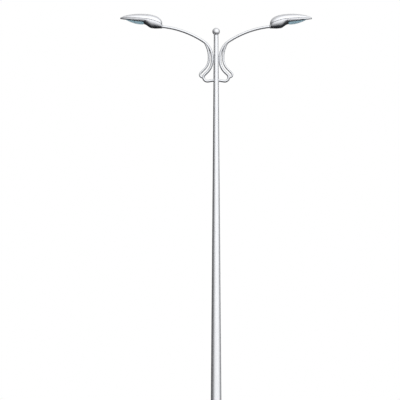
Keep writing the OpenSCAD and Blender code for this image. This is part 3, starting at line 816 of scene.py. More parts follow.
class TubeAxis:
    """A bent tube's axis in the X-Z plane: bends as (radius, turn), straights as (0, length)."""

    def __init__(self, x, z, stretches, sense=1):
        self.x, self.z, self.stretches, self.sense = x, z, stretches, sense
        self.length = sum(abs(value) * radius if radius else value for radius, value in stretches)

    def at(self, run):
        """Point, direction and heading at that length along the axis."""
        x = z = heading = 0.0
        for radius, value in self.stretches:
            part = min(run, abs(value) * radius if radius else value)
            if radius:
                side = math.copysign(radius, value)
                ahead = heading + part / side
                x += side * (math.cos(heading) - math.cos(ahead))
                z += side * (math.sin(ahead) - math.sin(heading))
                heading = ahead
            else:
                x += part * math.sin(heading)
                z += part * math.cos(heading)
            run -= part
            if run <= 0:
                break
        point = Vector((self.x + x, 0, self.z + self.sense * z))
        return point, Vector((math.sin(heading), 0, self.sense * math.cos(heading))), heading

    def end(self):
        """Point, direction and heading at its end."""
        return self.at(self.length)

    def points(self, step):
        """Points along the axis."""
        return [self.at(run)[0] for run in spread(0, self.length, int(self.length / step))]


class Arms:
    """Axes of the right-hand arm and scroll, worked out as the solids are."""

    # Gaps that the solids keep between arm and shaft
    HAIR = 0.0005
    SEAT = 0.0003

    def __init__(self, column, sizes):
        self.column, self.sizes = column, sizes
        self.arm_r, self.scroll_r = sizes.arm_d / 2, sizes.scroll_d / 2
        self.waist_z = column.top_z - sizes.waist_drop
        low_z = self.waist_z - sizes.waist_l
        self.waist_x = shaft_r(column, low_z) + self.arm_r + self.HAIR + self.SEAT
        up = [(sizes.shoulder_r, sizes.shoulder_a), (sizes.sweep_r, sizes.sweep_a)]
        down = [(sizes.flare_r, sizes.flare_a), (0, sizes.flare_l), (sizes.curl_r, -sizes.curl_a)]
        self.arm_up = TubeAxis(self.waist_x, self.waist_z, up)
        self.lamp_at, _, heading = self.arm_up.end()
        self.lamp_tilt = math.pi / 2 - heading
        bend = TubeAxis(self.waist_x, low_z, down, -1)
        end, _, heading = bend.end()
        inside = (end.x - column.top_d / 3) / -math.sin(heading)
        self.arm_down = TubeAxis(self.waist_x, low_z, down + [(0, inside)], -1)
        self.foot_from = bend.length * 0.6
        self._scroll(low_z, down)

    def _scroll(self, low_z, down):
        """Finds where the scroll's two bends run into the arm's."""
        sizes = self.sizes
        x = self.waist_x + self.arm_r + self.scroll_r + sizes.scroll_gap
        z = self.waist_z + sizes.scroll_lift
        top, shoulder = sizes.scroll_top_r, sizes.shoulder_r
        apart = Vector((self.waist_x + shoulder - x - top, self.waist_z - z))
        turned = math.pi - math.atan2(apart.y, apart.x) + self._meet(top, shoulder, apart)
        self.scroll_up = TubeAxis(x, z, [(top, turned % math.tau)])
        first = [(sizes.scroll_flare_r, sizes.scroll_flare_a), (0, sizes.scroll_flare_l)]
        low = z - sizes.scroll_waist_l
        curl = sizes.scroll_curl_r
        centre, heading = self._curl_centre(TubeAxis(x, low, first, -1), curl)
        arm_flare = TubeAxis(self.waist_x, low_z, down[:2], -1)
        apart = self._curl_centre(arm_flare, sizes.curl_r)[0] - centre
        out = math.atan2(apart.y, apart.x) + self._meet(curl, sizes.curl_r, apart)
        self.scroll_down = TubeAxis(x, low, first + [(curl, -(heading - out))], -1)

    @staticmethod
    def _meet(radius, other, apart):
        """Angle at a circle's centre from the line to the other's to where the two meet."""
        along = (radius**2 - other**2 + apart.length_squared) / (2 * apart.length)
        return math.acos(along / radius)

    @staticmethod
    def _curl_centre(flare, radius):
        """Centre of the curl that follows a flare, and the heading there."""
        end, _, heading = flare.end()
        x, z = end.x - radius * math.cos(heading), end.z - radius * math.sin(heading)
        return Vector((x, z)), heading

    def arm_line(self, step=0.003, waist_steps=30):
        """Points along the whole arm."""
        levels = spread(self.waist_z, self.waist_z - self.sizes.waist_l, waist_steps)
        waist = [Vector((self.waist_x, 0, z)) for z in levels[:-1]]
        return self.arm_up.points(step) + self.arm_down.points(step) + waist


def meeting_line(axis, radius, outside, start, count=96, halvings=26):
    """The ring where a tube's surface enters a body; outside(point) is above 0 off that body."""
    line = []
    for i in range(count):
        angle = math.tau * i / count

        def surface(run):
            point, along, _ = axis.at(run)
            side = along.cross(Vector((0, 1, 0)))
            return point + radius * (math.cos(angle) * side + math.sin(angle) * Vector((0, 1, 0)))

        near, far = start, axis.length
        for _ in range(halvings):
            middle = (near + far) / 2
            if outside(surface(middle)) > 0:
                near = middle
            else:
                far = middle
        line.append(surface(near))
    return line


def rise(share, power):
    """A rounded rise from 0 to 1."""
    return (1 - (1 - min(max(share, 0), 1)) ** power) ** (1 / power)


def fall(share, power, end):
    """A rounded fall from 1 to 0."""
    return (1 - min(max(share, 0), 1) ** power) ** (1 / end)


def smooth(share):
    """A soft step from 0 to 1."""
    share = min(max(share, 0), 1)
    return share * share * (3 - 2 * share)


def bulge(value, power):
    """A power that keeps the sign, which makes a circle's sine or cosine fuller."""
    return math.copysign(abs(value) ** power, value)


class LampShape:
    """Outlines of a lamp housing: u along the arm's end, v up, y across."""

    # Fullness of each outline: towards the rear, towards the tip, and at the tip itself
    PLAN = (2.3, 1.9, 1.45)
    TOP = (2.25, 2.05, 1.3)
    CREASE = (1.45, 3, 1.25)
    BOWL_PLAN = (2.6, 2, 1.7)
    BOWL_SIDE = (6, 1.6, 1.3)
    # Fullness of each section: across and in height
    DOME = (0.9, 0.85)
    PAN = (0.6, 0.7)
    BOWL = (0.8, 0.8)
    REFLECTOR = (0.9, 0.9)
    FLANK = math.radians(50)
    BOWL_WIDE = 0.28
    SEAT = 0.0003
    # The crease strip's section, out and up from its foot, in shares of its height: a black strip
    # that stands in for the crease's shadow line, as painted shadow
    SHADOW_STRIP = (
        (-0.35, -0.1), (0.35, -0.06), (0.5, 0.3), (0.42, 0.75), (0.1, 0.98), (-0.35, 1.0),
        (-0.35, -0.1),
    )
    SHADOW_STRIP_TAPER = 1.7

    def __init__(self, sizes):
        self.s = sizes
        self.bowl_rear = sizes.pan_end_u + sizes.bulkhead_t - sizes.bowl_wall
        self.bowl_tip = self.bowl_rear + sizes.bowl_l
        self.bowl_wide = self.bowl_rear + sizes.bowl_l * self.BOWL_WIDE

    def crest(self, u, low, high, end, full):
        """An outline that rises to the crest and falls to the tip."""
        s = self.s
        if u < s.crest_u:
            share = (u - s.casting_t) / (s.crest_u - s.casting_t)
            return low + (high - low) * rise(share, full[0])
        return end + (high - end) * fall((u - s.crest_u) / (s.lamp_l - s.crest_u), *full[1:])

    def half_w(self, u):
        """Half of the housing's width."""
        return self.crest(u, self.s.rear_half_w, self.s.half_w, self.s.tip_half_w, self.PLAN)

    def top(self, u):
        """Height of the housing's top."""
        s = self.s
        return self.crest(u, s.rear_top_v, s.top_v, s.rim_v + s.tip_h, self.TOP)

    def crease(self, u):
        """Height of the side crease."""
        s = self.s
        return self.crest(u, s.rear_crease_v, s.crease_v, s.rim_v + s.tip_h / 2, self.CREASE)

    def climb(self, u):
        """Share of the rise from the gear pan to the glass frame."""
        return smooth((u - self.s.pan_rise_u) / (self.s.pan_end_u - self.s.pan_rise_u))

    def rim(self, u):
        """Height of the housing's lower edge."""
        return self.s.rim_v * self.climb(u)

    def rim_half_w(self, u):
        """Half of the width of that edge, drawn in below the crease."""
        drawn = self.s.flank_tuck * (self.crease(u) - self.rim(u)) / self.s.crease_v
        return self.half_w(u) * (1 - drawn / self.s.half_w)

    def pan_low(self, u):
        """Height of the gear pan's underside."""
        s = self.s
        rear = -s.sleeve_r - s.rear_lip
        if u < s.pan_rise_u:
            return rear - (s.pan_depth + rear) * smooth((u - s.casting_t) / s.pan_swell_l)
        return -s.pan_depth + (s.pan_depth + s.pan_front_v) * self.climb(u)

    def canopy_row(self, u, flank_steps=10, dome_steps=44):
        """One section of the canopy: flank, crease ledge, dome, ledge and flank."""
        w, c, r = self.half_w(u), self.crease(u), self.rim(u)
        tuck = w - self.rim_half_w(u)
        ledge = self.s.ledge * w / self.s.half_w
        flank = []
        for a in reversed(spread(0, self.FLANK, flank_steps)):
            in_by = tuck * (1 - math.cos(a)) / (1 - math.cos(self.FLANK))
            flank.append((w - in_by, c - (c - r) * math.sin(a) / math.sin(self.FLANK)))
        low = c + ledge / 3
        dome = self.arch(u, w - ledge, low, self.top(u) - low, self.DOME, dome_steps)
        left = [Vector((u, -y, v)) for y, v in reversed(flank)]
        return [Vector((u, y, v)) for y, v in flank] + dome + left

    def shadow_strip_row(self, u, side):
        """One section of the black strip on the crease ledge, on one side, which stands in for the
        crease's shadow line: painted shadow.
        """
        share = self.half_w(u) / self.s.half_w
        ledge, size = self.s.ledge * share, self.s.crease_seal * min(1, self.SHADOW_STRIP_TAPER * share)
        foot = Vector((u, side * (self.half_w(u) - ledge), self.crease(u) + ledge / 3))
        return [foot + size * Vector((0, side * out, up)) for out, up in self.SHADOW_STRIP]

    @staticmethod
    def arch(u, half, foot, height, full, steps=44):
        """A rounded section from rim to rim, hanging where its height is below 0."""
        section = []
        for a in spread(0, math.pi, steps):
            y, v = half * bulge(math.cos(a), full[0]), height * bulge(math.sin(a), full[1])
            section.append(Vector((u, y, foot + v)))
        return section

    def pan_row(self, u):
        """One section of the gear pan."""
        rim = self.rim(u)
        return self.arch(u, self.rim_half_w(u), rim, self.pan_low(u) - rim, self.PAN)

    def bowl_crest(self, u, full):
        """An outline of the bowl, from 0 at its ends to 1."""
        if u < self.bowl_wide:
            return rise((u - self.bowl_rear) / (self.bowl_wide - self.bowl_rear), full[0])
        return fall((u - self.bowl_wide) / (self.bowl_tip - self.bowl_wide), *full[1:])

    def bowl_w(self, u):
        """Half of the bowl's width."""
        return self.s.bowl_half_w * self.bowl_crest(u, self.BOWL_PLAN)

    def bowl_row(self, u):
        """One section of the glass bowl."""
        depth = self.s.bowl_depth * self.bowl_crest(u, self.BOWL_SIDE)
        return self.arch(u, self.bowl_w(u), self.s.rim_v, -depth, self.BOWL)

    def reflector_row(self, u):
        """One section of the reflector."""
        high = self.s.reflector_h * self.bowl_w(u) / self.s.bowl_half_w
        return self.arch(u, self.bowl_w(u), self.s.rim_v + self.s.gasket_t, high, self.REFLECTOR)

    def rear_stations(self, rear=26, rising=24, bias=2.2):
        """Places along the housing from the casting to the gear pan's end."""
        s = self.s
        level_l = s.pan_rise_u - s.casting_t
        first = [s.casting_t + level_l * (i / rear) ** bias for i in range(rear)]
        return first + spread(s.pan_rise_u, s.pan_end_u, rising)

    def tip_stations(self, count=44):
        """Places along the housing from the gear pan's end to the tip."""
        s = self.s
        long = s.lamp_l - s.pan_end_u
        return [s.pan_end_u + long * math.sin(math.pi / 2 * i / count) for i in range(1, count + 1)]

    def stations(self):
        """Places along the whole housing."""
        return self.rear_stations() + self.tip_stations()

    def bowl_stations(self, first=0, count=48):
        """Places along the bowl, closer together towards its ends; first is in sixteenths."""
        s = self.s
        low, long = self.bowl_rear + s.bowl_wall, s.bowl_l - 2 * s.bowl_wall
        return [low + long * (1 - math.cos(math.pi * t)) / 2 for t in spread(first / 16, 1, count)]

    def bowl_outline(self, grow, count):
        """The bowl's plan, grown by a length."""
        stations = self.bowl_stations(0, count)
        middle, scale = self.bowl_rear + self.s.bowl_l / 2, 1 + 2 * grow / self.s.bowl_l
        side = [(middle + (u - middle) * scale, self.bowl_w(u) + grow) for u in stations]
        return side + [(u, -y) for u, y in reversed(side)]

    def frame_outline(self, inset, count=64):
        """The glass frame's plan, from one rear corner round the tip to the other, drawn in."""
        side = [(u, self.rim_half_w(u)) for u in [self.s.pan_end_u] + self.tip_stations(count)]
        line = [Vector(point) for point in side + [(u, -y) for u, y in reversed(side)]]
        moved = []
        for i, point in enumerate(line):
            along = (line[min(i + 1, len(line) - 1)] - line[max(i - 1, 0)]).normalized()
            moved.append(point + inset * Vector((along.y, -along.x)))
        moved[0].x = moved[-1].x = self.s.pan_end_u
        return moved


def gather(row, height):
    """A row that closes a skin against one point in the middle of its last section."""
    return [Vector((row[0].x, 0, height)) for _ in row]


def upright(u=0.0):
    """Stands a plate that was made in XY across the lamp, at u."""
    return Matrix(((0, 0, 1, u), (1, 0, 0, 0), (0, 1, 0, 0), (0, 0, 0, 1)))


def arms_now():
    """The arms at the sizes that the scene holds."""
    scene = bpy.context.scene
    return Arms(scene.column_sizes, scene.column_arms)


def lamp_now():
    """The lamp housing's outlines and sizes that the scene holds."""
    lamp = LampShape(bpy.context.scene.column_lamps)
    return lamp, lamp.s


def lamp_pair(stem, part, finish_name, slot, replaces=True, sharp=SMOOTH_UNDER):
    """Makes a part into two pieces: one on the right lamp, and its mirror image on the left."""
    arms = arms_now()
    right = Matrix.Translation(arms.lamp_at) @ Matrix.Rotation(-arms.lamp_tilt, 4, "Y")
    for side, place in (("right", right), ("left", Matrix.Scale(-1, 4, (1, 0, 0)) @ right)):
        bm = bmesh.new()
        add(bm, part.copy(), place)
        make = finished if replaces else piece
        make(f"{stem}_{side}", bm, finish_name, slot, sharp=sharp)
    part.free()


# Operators


class COLUMN_OT_base(bpy.types.Operator):
    """Finishes the base plate and ribs, and adds welds, anchor bolts and the earthing bolt"""

    bl_idname = "column.base"
    bl_label = "Base and Anchor Bolts"

    # The foot weld's three passes, out and up from the corner, in shares of its leg
    PASSES = (
        (0, 0), (1, 0), (0.92, 0.22), (0.7, 0.34), (0.58, 0.55), (0.36, 0.66), (0.22, 0.92),
        (0, 1),
    )
    # The ripples of those passes and their wander, as height and waves round the foot
    RIPPLES, WANDER = (0.0006, 120), (0.0003, 37)
    RIBS = 8
    RIB_WELD_STEPS = 10
    # Where a rib's welds start, how far they end before its toe and top, and their offset
    RIB_WELD_FROM, SHORT_OF_TOE, SHORT_OF_TOP, OFF = 0.026, 0.002, 0.004, 0.001
    NUT_ACROSS, NUT_H, LOCK_NUT_H, NUT_GAP, WASHER_H = 0.046, 0.024, 0.015, 0.0005, 0.004
    BOLT_CHAMFER = 0.0025
    EARTH_ACROSS, EARTH_R, EARTH_WASHER_H = 0.018, 0.006, 0.0025

    def execute(self, context):
        sizes = context.scene.column_sizes
        for node in ("base_plate", "side_ribs", "corner_ribs"):
            finished(node, copy_of(node, PLATE_EDGE), "gloss_column_paint", "painted_steel")
        lug = copy_of("earth_lug", width=0.0008)
        finished("earth_lug", lug, "brushed_stainless", "fasteners")
        self.foot_weld(sizes)
        self.rib_welds(sizes)
        self.anchor_bolts(sizes)
        self.earthing_bolt()
        return {"FINISHED"}

    def foot_weld(self, sizes, steps=720):
        """A three-pass fillet round the shaft's foot."""
        r, z, leg = shaft_r(sizes, sizes.plate_t), sizes.plate_t, sizes.bead_leg
        bm = lathe([(r + leg * out, z + leg * up) for out, up in self.PASSES], steps)
        for vert in bm.verts:
            flat = Vector((vert.co.x, vert.co.y))
            if flat.length > r + leg * 0.1 and vert.co.z > z + leg * 0.1:
                angle = math.atan2(flat.y, flat.x)
                lift = self.RIPPLES[0] * abs(math.sin(angle * self.RIPPLES[1]))
                lift += self.WANDER[0] * math.sin(angle * self.WANDER[1])
                flat *= 1 + lift / flat.length
                vert.co = (flat.x, flat.y, vert.co.z + lift)
        finished("base_weld", bm, "painted_weld", "painted_steel", sharp=60)

    def rib_welds(self, sizes):
        """Fillets along both sides of each rib, on the plate and up the shaft."""
        foot, deck, off = shaft_r(sizes, sizes.plate_t), sizes.plate_t, self.OFF
        start, steps = self.RIB_WELD_FROM, self.RIB_WELD_STEPS
        out = spread(foot + start, sizes.rib_reach - self.SHORT_OF_TOE, steps)
        up = spread(deck + start, sizes.rib_h - self.SHORT_OF_TOP, steps)
        runs = []
        for i in range(self.RIBS):
            turned = Matrix.Rotation(math.tau * i / self.RIBS, 4, "Z")
            for y in (-(sizes.rib_t / 2 + off), sizes.rib_t / 2 + off):
                low = [Vector((x, y, deck + off)) for x in out]
                high = [
                    Vector((math.sqrt(shaft_r(sizes, z) ** 2 - y * y) + off, y, z)) for z in up
                ]
                runs += [([turned @ point for point in line], False) for line in (low, high)]
        beads("rib_welds", runs, radius=0.0035)

    def stud(self, sizes, low=0.001, per_turn=24):
        """A threaded stud with a chamfered end."""
        radius, pitch, high = sizes.bolt_d / 2, sizes.bolt_pitch, sizes.bolt_end
        bm = bmesh.new()
        root = radius - 0.61 * pitch
        turns = math.ceil((high - low) / pitch) + 3
        tooth = [(root, 0), (root, 0.12), (radius, 0.44), (radius, 0.56), (root, 0.88), (root, 1)]
        profile = [(r, low + (t - 2) * pitch) for r, t in tooth]
        steps, lift = turns * per_turn, pitch / per_turn
        spin(bm, profile, False, steps, angle=math.tau * turns, lift=lift, full=False)
        bmesh.ops.remove_doubles(bm, verts=bm.verts, dist=MERGE_CAD)
        for z, normal in ((low, (0, 0, -1)), (high, (0, 0, 1))):
            bmesh.ops.bisect_plane(
                bm, geom=bm.verts[:] + bm.edges[:] + bm.faces[:], dist=1e-7,
                plane_co=(0, 0, z), plane_no=normal, clear_outer=True, clear_inner=False,
            )
            rim = [
                edge for edge in bm.edges
                if edge.is_boundary and all(abs(v.co.z - z) < 1e-5 for v in edge.verts)
            ]
            bmesh.ops.holes_fill(bm, edges=rim, sides=0)
        for vert in bm.verts:
            narrower = 1 - max(vert.co.z - (high - self.BOLT_CHAMFER), 0) / radius * 0.8
            vert.co.x *= narrower
            vert.co.y *= narrower
        bmesh.ops.recalc_face_normals(bm, faces=bm.faces)
        return bm

    def anchor_bolts(self, sizes):
        """Threaded studs with washers, nuts and lock nuts."""
        radius, half, deck = sizes.bolt_d / 2, sizes.bolt_spacing / 2, sizes.plate_t
        hole = radius + 0.0005
        washer = lathe(
            [(hole, 0), (radius * 1.86, 0), (radius * 1.87, 0.0035),
             (radius * 1.84, self.WASHER_H), (hole, self.WASHER_H)],
            48,
        )
        nut = self.nut(radius, self.NUT_ACROSS, self.NUT_H)
        lock_nut = self.nut(radius, self.NUT_ACROSS, self.LOCK_NUT_H)
        bm = bmesh.new()
        spots = [Vector((x * half, y * half, 0)) for x in (-1, 1) for y in (-1, 1)]
        add(bm, self.stud(sizes), *[Matrix.Translation(spot) for spot in spots])
        over_washer = deck + self.WASHER_H
        over_nut = over_washer + self.NUT_H + self.NUT_GAP
        stack = ((washer, deck, 0), (nut, over_washer, 0.2), (lock_nut, over_nut, 0.55))
        for part, z, turned in stack:
            places = [
                Matrix.Translation(spot + Vector((0, 0, z)))
                @ Matrix.Rotation(turned + i * 0.37, 4, "Z")
                for i, spot in enumerate(spots)
            ]
            add(bm, part, *places)
        piece("anchor_bolts", bm, "galvanised_zinc", "fasteners", sharp=32)

    def nut(self, radius, across, height, chamfer=0.0018):
        """A hexagon nut with chamfered corners, standing on z 0."""
        hexagon = circle_points(across / math.sqrt(3), 6)
        bm = plate([hexagon, circle_points(radius + 0.0002, 36)], height)
        for vert in bm.verts:
            if Vector((vert.co.x, vert.co.y)).length > across * 0.55:
                vert.co.z += chamfer if vert.co.z < height / 2 else -chamfer
        soften(bm, width=0.0006, sharp=50, segments=1)
        return bm

    def earthing_bolt(self):
        """A hexagon bolt with nut and washers through the earthing lug."""
        low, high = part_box("earth_lug")
        middle = Vector(((low.x + high.x) / 2, high.y - 0.02, (low.z + high.z) / 2))
        half, under, bore = (high.x - low.x) / 2, self.EARTH_WASHER_H, self.EARTH_R + 0.0001
        washer = lathe(
            [(bore, 0), (0.012, 0), (0.012, 0.0022), (0.0117, under), (bore, under)], 32
        )
        shank = lathe(
            [(0, 0), (self.EARTH_R, 0), (self.EARTH_R, 0.036), (0.0053, 0.037), (0, 0.037)],
            32, closed=False,
        )
        head = self.nut(0.0001, self.EARTH_ACROSS, 0.0075)
        head.transform(Matrix.Rotation(math.pi, 4, "X"))
        nut = self.nut(self.EARTH_R, self.EARTH_ACROSS, 0.01)
        back, front = -half - under, half + under
        bm = bmesh.new()
        across = Matrix.Translation(middle) @ Matrix.Rotation(math.pi / 2, 4, "Y")
        parts = ((washer, (back, half)), (shank, (back - 0.006,)), (head, (back,)), (nut, (front,)))
        for part, heights in parts:
            add(bm, part, *[across @ Matrix.Translation((0, 0, z)) for z in heights])
        piece("earthing_bolt", bm, "brushed_stainless", "fasteners", sharp=32)


class COLUMN_OT_shaft(bpy.types.Operator):
    """Finishes the shaft, the cap plate and the ball, with the welds between them"""

    bl_idname = "column.shaft"
    bl_label = "Shaft, Cap and Ball"

    STEPS_BELOW, STEPS_AT_DOOR, STEPS_ABOVE, STEPS_ROUND = 12, 60, 30, 144
    BEYOND_DOOR = 0.04

    def execute(self, context):
        sizes = context.scene.column_sizes
        cone_piece("shaft", self.tube(sizes), "gloss_shaft_paint", sizes)
        coat("gloss_column_paint", "finial_ball")
        cap = copy_of("top_cap", PLATE_EDGE)
        finished("top_cap", cap, "gloss_column_paint", "painted_steel")
        under = ring(shaft_r(sizes, sizes.top_z) + 0.0004, sizes.top_z, 120)
        over = ring(sizes.ball_seat_r + 0.0015, CAP_HIGH.z, 96)
        beads("cap_welds", [(under, True), (over, True)], radius=0.003)
        return {"FINISHED"}

    def tube(self, sizes):
        """The tapered tube with its door opening, in small faces round the door."""
        reach = sizes.door_h / 2 + self.BEYOND_DOOR
        low, high = sizes.door_z - reach, sizes.door_z + reach
        levels = spread(sizes.plate_t, low, self.STEPS_BELOW)[:-1]
        levels += spread(low, high, self.STEPS_AT_DOOR)[:-1]
        levels += spread(high, sizes.top_z, self.STEPS_ABOVE)
        outside = [(shaft_r(sizes, z), z) for z in levels]
        inside = [(r - sizes.wall, z) for r, z in reversed(outside)]
        shell = lathe(outside + inside, self.STEPS_ROUND)
        opening = plate([door_outline(sizes, sizes.door_gap)], sizes.base_d)
        opening.transform(Matrix.Rotation(math.pi / 2, 4, "X"))
        return cut_out(shell, opening)


class COLUMN_OT_door(bpy.types.Operator):
    """Finishes the door, its frame and its locks, and welds the frame in"""

    bl_idname = "column.door"
    bl_label = "Door"

    def execute(self, context):
        sizes = context.scene.column_sizes
        for node in ("door_frame", "door_cover"):
            cone_piece(node, shape_of(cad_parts[node].data), "gloss_column_paint", sizes)
        coat("brushed_stainless", "door_lock_bars")
        screws = copy_of("door_lock_screws", width=0.0012)
        finished("door_lock_screws", screws, "galvanised_zinc", "fasteners")
        points = [
            Vector((x, -math.sqrt(shaft_r(sizes, z) ** 2 - x * x), z))
            for x, z in door_outline(sizes, 0.0)
        ]
        beads("door_frame_weld", [(points, True)], radius=0.0026)
        return {"FINISHED"}


class COLUMN_OT_arms(bpy.types.Operator):
    """Finishes the arms and scrolls, and adds the welds that hold them"""

    bl_idname = "column.arms"
    bl_label = "Arms and Scrolls"

    WAIST_WELD_Y = 0.0165
    WAIST_WELD_PAST = 0.014
    # Shares of a scroll's two bends that are still clear of the arm
    CLEAR_UP, CLEAR_DOWN = 0.45, 0.7

    def execute(self, context):
        coat("gloss_arm_paint", "arm_right", "arm_left", "scroll_right", "scroll_left")
        arms, sizes = arms_now(), context.scene.column_sizes
        line = arms.arm_line()
        axis = KDTree(len(line))
        for i, point in enumerate(line):
            axis.insert(point, i)
        axis.balance()

        def off_shaft(point):
            return math.hypot(point.x, point.y) - shaft_r(sizes, point.z)

        def off_arm(point):
            return axis.find(point)[2] - arms.arm_r

        up, down = arms.scroll_up, arms.scroll_down
        rings = (
            meeting_line(arms.arm_down, arms.arm_r, off_shaft, arms.foot_from),
            meeting_line(up, arms.scroll_r, off_arm, up.length * self.CLEAR_UP),
            meeting_line(down, arms.scroll_r, off_arm, down.length * self.CLEAR_DOWN),
        )
        lines = [(ring_line, True) for ring_line in rings]
        lines += [(waist, False) for waist in self.waist_lines(arms, sizes)]
        for side, mirrored in (("right", 1), ("left", -1)):
            flip = Matrix.Scale(mirrored, 4, (1, 0, 0))
            moved = [([flip @ point for point in points], closed) for points, closed in lines]
            beads(f"arm_welds_{side}", moved, radius=0.0032)
        return {"FINISHED"}

    def waist_lines(self, arms, sizes, steps=12):
        """Where the arm's straight stretch is welded to the shaft, in front and behind."""
        y, past = self.WAIST_WELD_Y, self.WAIST_WELD_PAST
        levels = spread(arms.waist_z + past, arms.waist_z - arms.sizes.waist_l - past, steps)
        lines = []
        for side in (-1, 1):
            line = []
            for z in levels:
                on_shaft = math.sqrt(shaft_r(sizes, z) ** 2 - y * y)
                on_arm = arms.waist_x - math.sqrt(arms.arm_r**2 - y * y)
                line.append(Vector(((on_shaft + on_arm) / 2, side * y, z)))
            lines.append(line)
        return lines


class COLUMN_OT_canopies(bpy.types.Operator):
    """Replaces the lofted canopies by smooth ones, with a black strip along each crease as its
    painted shadow
    """

    bl_idname = "column.canopies"
    bl_label = "Canopies"

    SHORT_OF_TIP = 0.006

    def execute(self, context):
        lamp, s = lamp_now()
        rows = [lamp.canopy_row(u) for u in lamp.stations()]
        rows.append(gather(rows[-1], lamp.rim(s.lamp_l)))
        shell = skin(rows, s.shell_wall)
        lamp_pair("canopy", shell, "silver_housing_paint", "lamp_paint", sharp=30)
        # Painted shadow: a black rubber strip along each crease stands in for the crease's shadow
        # line
        seal = bmesh.new()
        shadow_strip_stations = [u for u in lamp.stations() if u < s.lamp_l - self.SHORT_OF_TIP]
        for side in (1, -1):
            add(seal, sheet([lamp.shadow_strip_row(u, side) for u in shadow_strip_stations]), Matrix())
        lamp_pair("crease_seal", close(seal), "black_rubber", "gasket_rubber", replaces=False)
        return {"FINISHED"}


class COLUMN_OT_rear_castings(bpy.types.Operator):
    """Replaces the rear castings by rounded ones, with a rubber seal round each arm"""

    bl_idname = "column.rear_castings"
    bl_label = "Rear Castings"

    # The arm seal's section: out from the tube, and along it from the casting's rear face
    ARM_SEAL = (
        (0.0006, -0.009), (0.003, -0.0095), (0.0055, -0.007), (0.0075, -0.003),
        (0.0085, 0.0005), (0.0006, 0.003),
    )

    def execute(self, context):
        lamp, s = lamp_now()
        bore, end = s.sleeve_bore_r, s.casting_t + s.sleeve_l
        section = lamp.canopy_row(s.casting_t) + lamp.pan_row(s.casting_t)[-2:0:-1]
        bm = plate([[(p.y, p.z) for p in section], circle_points(bore, 64)], s.casting_t)
        rim = [
            edge for edge in bm.edges
            if all(v.co.z < 1e-6 and v.co.xy.length > bore + 0.001 for v in edge.verts)
            and edge.calc_face_angle(0) > 1
        ]
        round_edges(bm, rim, s.casting_round, 6)
        bm.transform(upright())
        sleeve = lathe([(bore, 0.001), (s.sleeve_r, 0.001), (s.sleeve_r, end), (bore, end)], 64)
        add(bm, sleeve, upright())
        lamp_pair("rear_casting", bm, "silver_housing_paint", "lamp_paint")
        coat("brushed_stainless", "clamp_screws_right", "clamp_screws_left")
        tube = context.scene.column_arms.arm_d / 2
        seal = lathe([(tube + out, along) for out, along in self.ARM_SEAL], 64)
        seal.transform(upright())
        lamp_pair("arm_seal", seal, "black_rubber", "gasket_rubber", replaces=False)
        return {"FINISHED"}


class COLUMN_OT_gear_pans(bpy.types.Operator):
    """Replaces the gear pans by smooth ones, with their fixing screws"""

    bl_idname = "column.gear_pans"
    bl_label = "Gear Pans"

    SCREWS_U = (0.1, 0.27)
    SCREW_STEP = 13

    def execute(self, context):
        lamp, s = lamp_now()
        stations = lamp.rear_stations()
        rows = [lamp.pan_row(u) for u in stations]
        rows.append(gather(rows[-1], lamp.rim(stations[-1])))
        # Painted shade: the pans are near-black where the housing's underside is in shade
        lamp_pair("gear_pan", skin(rows, s.shell_wall), "satin_dark_paint", "dark_paint")
        bm = bmesh.new()
        places = []
        for u in self.SCREWS_U:
            row, ahead = lamp.pan_row(u), lamp.pan_row(u + 0.004)
            for i in (self.SCREW_STEP, len(row) - 1 - self.SCREW_STEP):
                along = (ahead[i] - row[i]).normalized()
                out = along.cross((row[i + 1] - row[i]).normalized())
                if out.z > 0:
                    out = -out
                facing = out.to_track_quat("Z", "Y").to_matrix().to_4x4()
                places.append(Matrix.Translation(row[i]) @ facing)
        add(bm, screw_head(radius=0.0055, height=0.0045), *places)
        lamp_pair("gear_pan_screws", bm, "brushed_stainless", "fasteners", replaces=False)
        return {"FINISHED"}


class COLUMN_OT_glass_frames(bpy.types.Operator):
    """Replaces the glass frames, adds their drip edges and screws, and coats the gaskets"""

    bl_idname = "column.glass_frames"
    bl_label = "Glass Frames"

    # Screws: from the pan's end, along the frame, and back from the tip
    FIRST_SCREW, SCREWS_U, TIP_SCREW = 0.028, (0.68, 0.84, 0.98), 0.06

    def execute(self, context):
        lamp, s = lamp_now()
        low = s.rim_v - s.ring_t
        bm = plate([lamp.frame_outline(0.0), lamp.bowl_outline(lamp.SEAT, 56)], s.ring_t)
        soften(bm, width=0.002, sharp=50)
        bmesh.ops.translate(bm, verts=bm.verts, vec=(0, 0, low))
        section = [(p.y, p.z) for p in lamp.pan_row(s.pan_end_u)]
        wall = plate([section], s.bulkhead_t - lamp.SEAT)
        soften(wall, width=0.0012, sharp=50)
        add(bm, wall, upright(s.pan_end_u))
        # Painted shade: the glass frames are near-black like the pans
        lamp_pair("glass_frame", bm, "satin_dark_paint", "dark_paint")
        coat("black_rubber", "gasket_right", "gasket_left")
        edge = close(sheet(self.drip_rows(lamp, s)))
        lamp_pair("drip_edge", edge, "silver_housing_paint", "lamp_paint", replaces=False)
        spots = [(s.lamp_l - self.TIP_SCREW, 0.0)]
        for u in (s.pan_end_u + self.FIRST_SCREW, *self.SCREWS_U):
            y = (lamp.bowl_w(u) + lamp.rim_half_w(u)) / 2
            spots += [(u, y), (u, -y)]
        down = Matrix.Rotation(math.pi, 4, "X")
        heads = bmesh.new()
        places = [Matrix.Translation((u, y, low)) @ down for u, y in spots]
        add(heads, screw_head(radius=0.0045, height=0.004), *places)
        lamp_pair("glass_frame_screws", heads, "brushed_stainless", "fasteners", replaces=False)
        return {"FINISHED"}

    def drip_rows(self, lamp, s):
        """Closed sections of the silver edge, which stands half outside the frame's top."""
        top, low = s.rim_v, s.rim_v - s.drip_h
        outside, inside = lamp.frame_outline(-s.drip_t), lamp.frame_outline(s.drip_t)
        return [
            [(*out, top), (*out, low), (*back, low), (*back, top), (*out, top)]
            for out, back in zip(outside, inside)
        ]


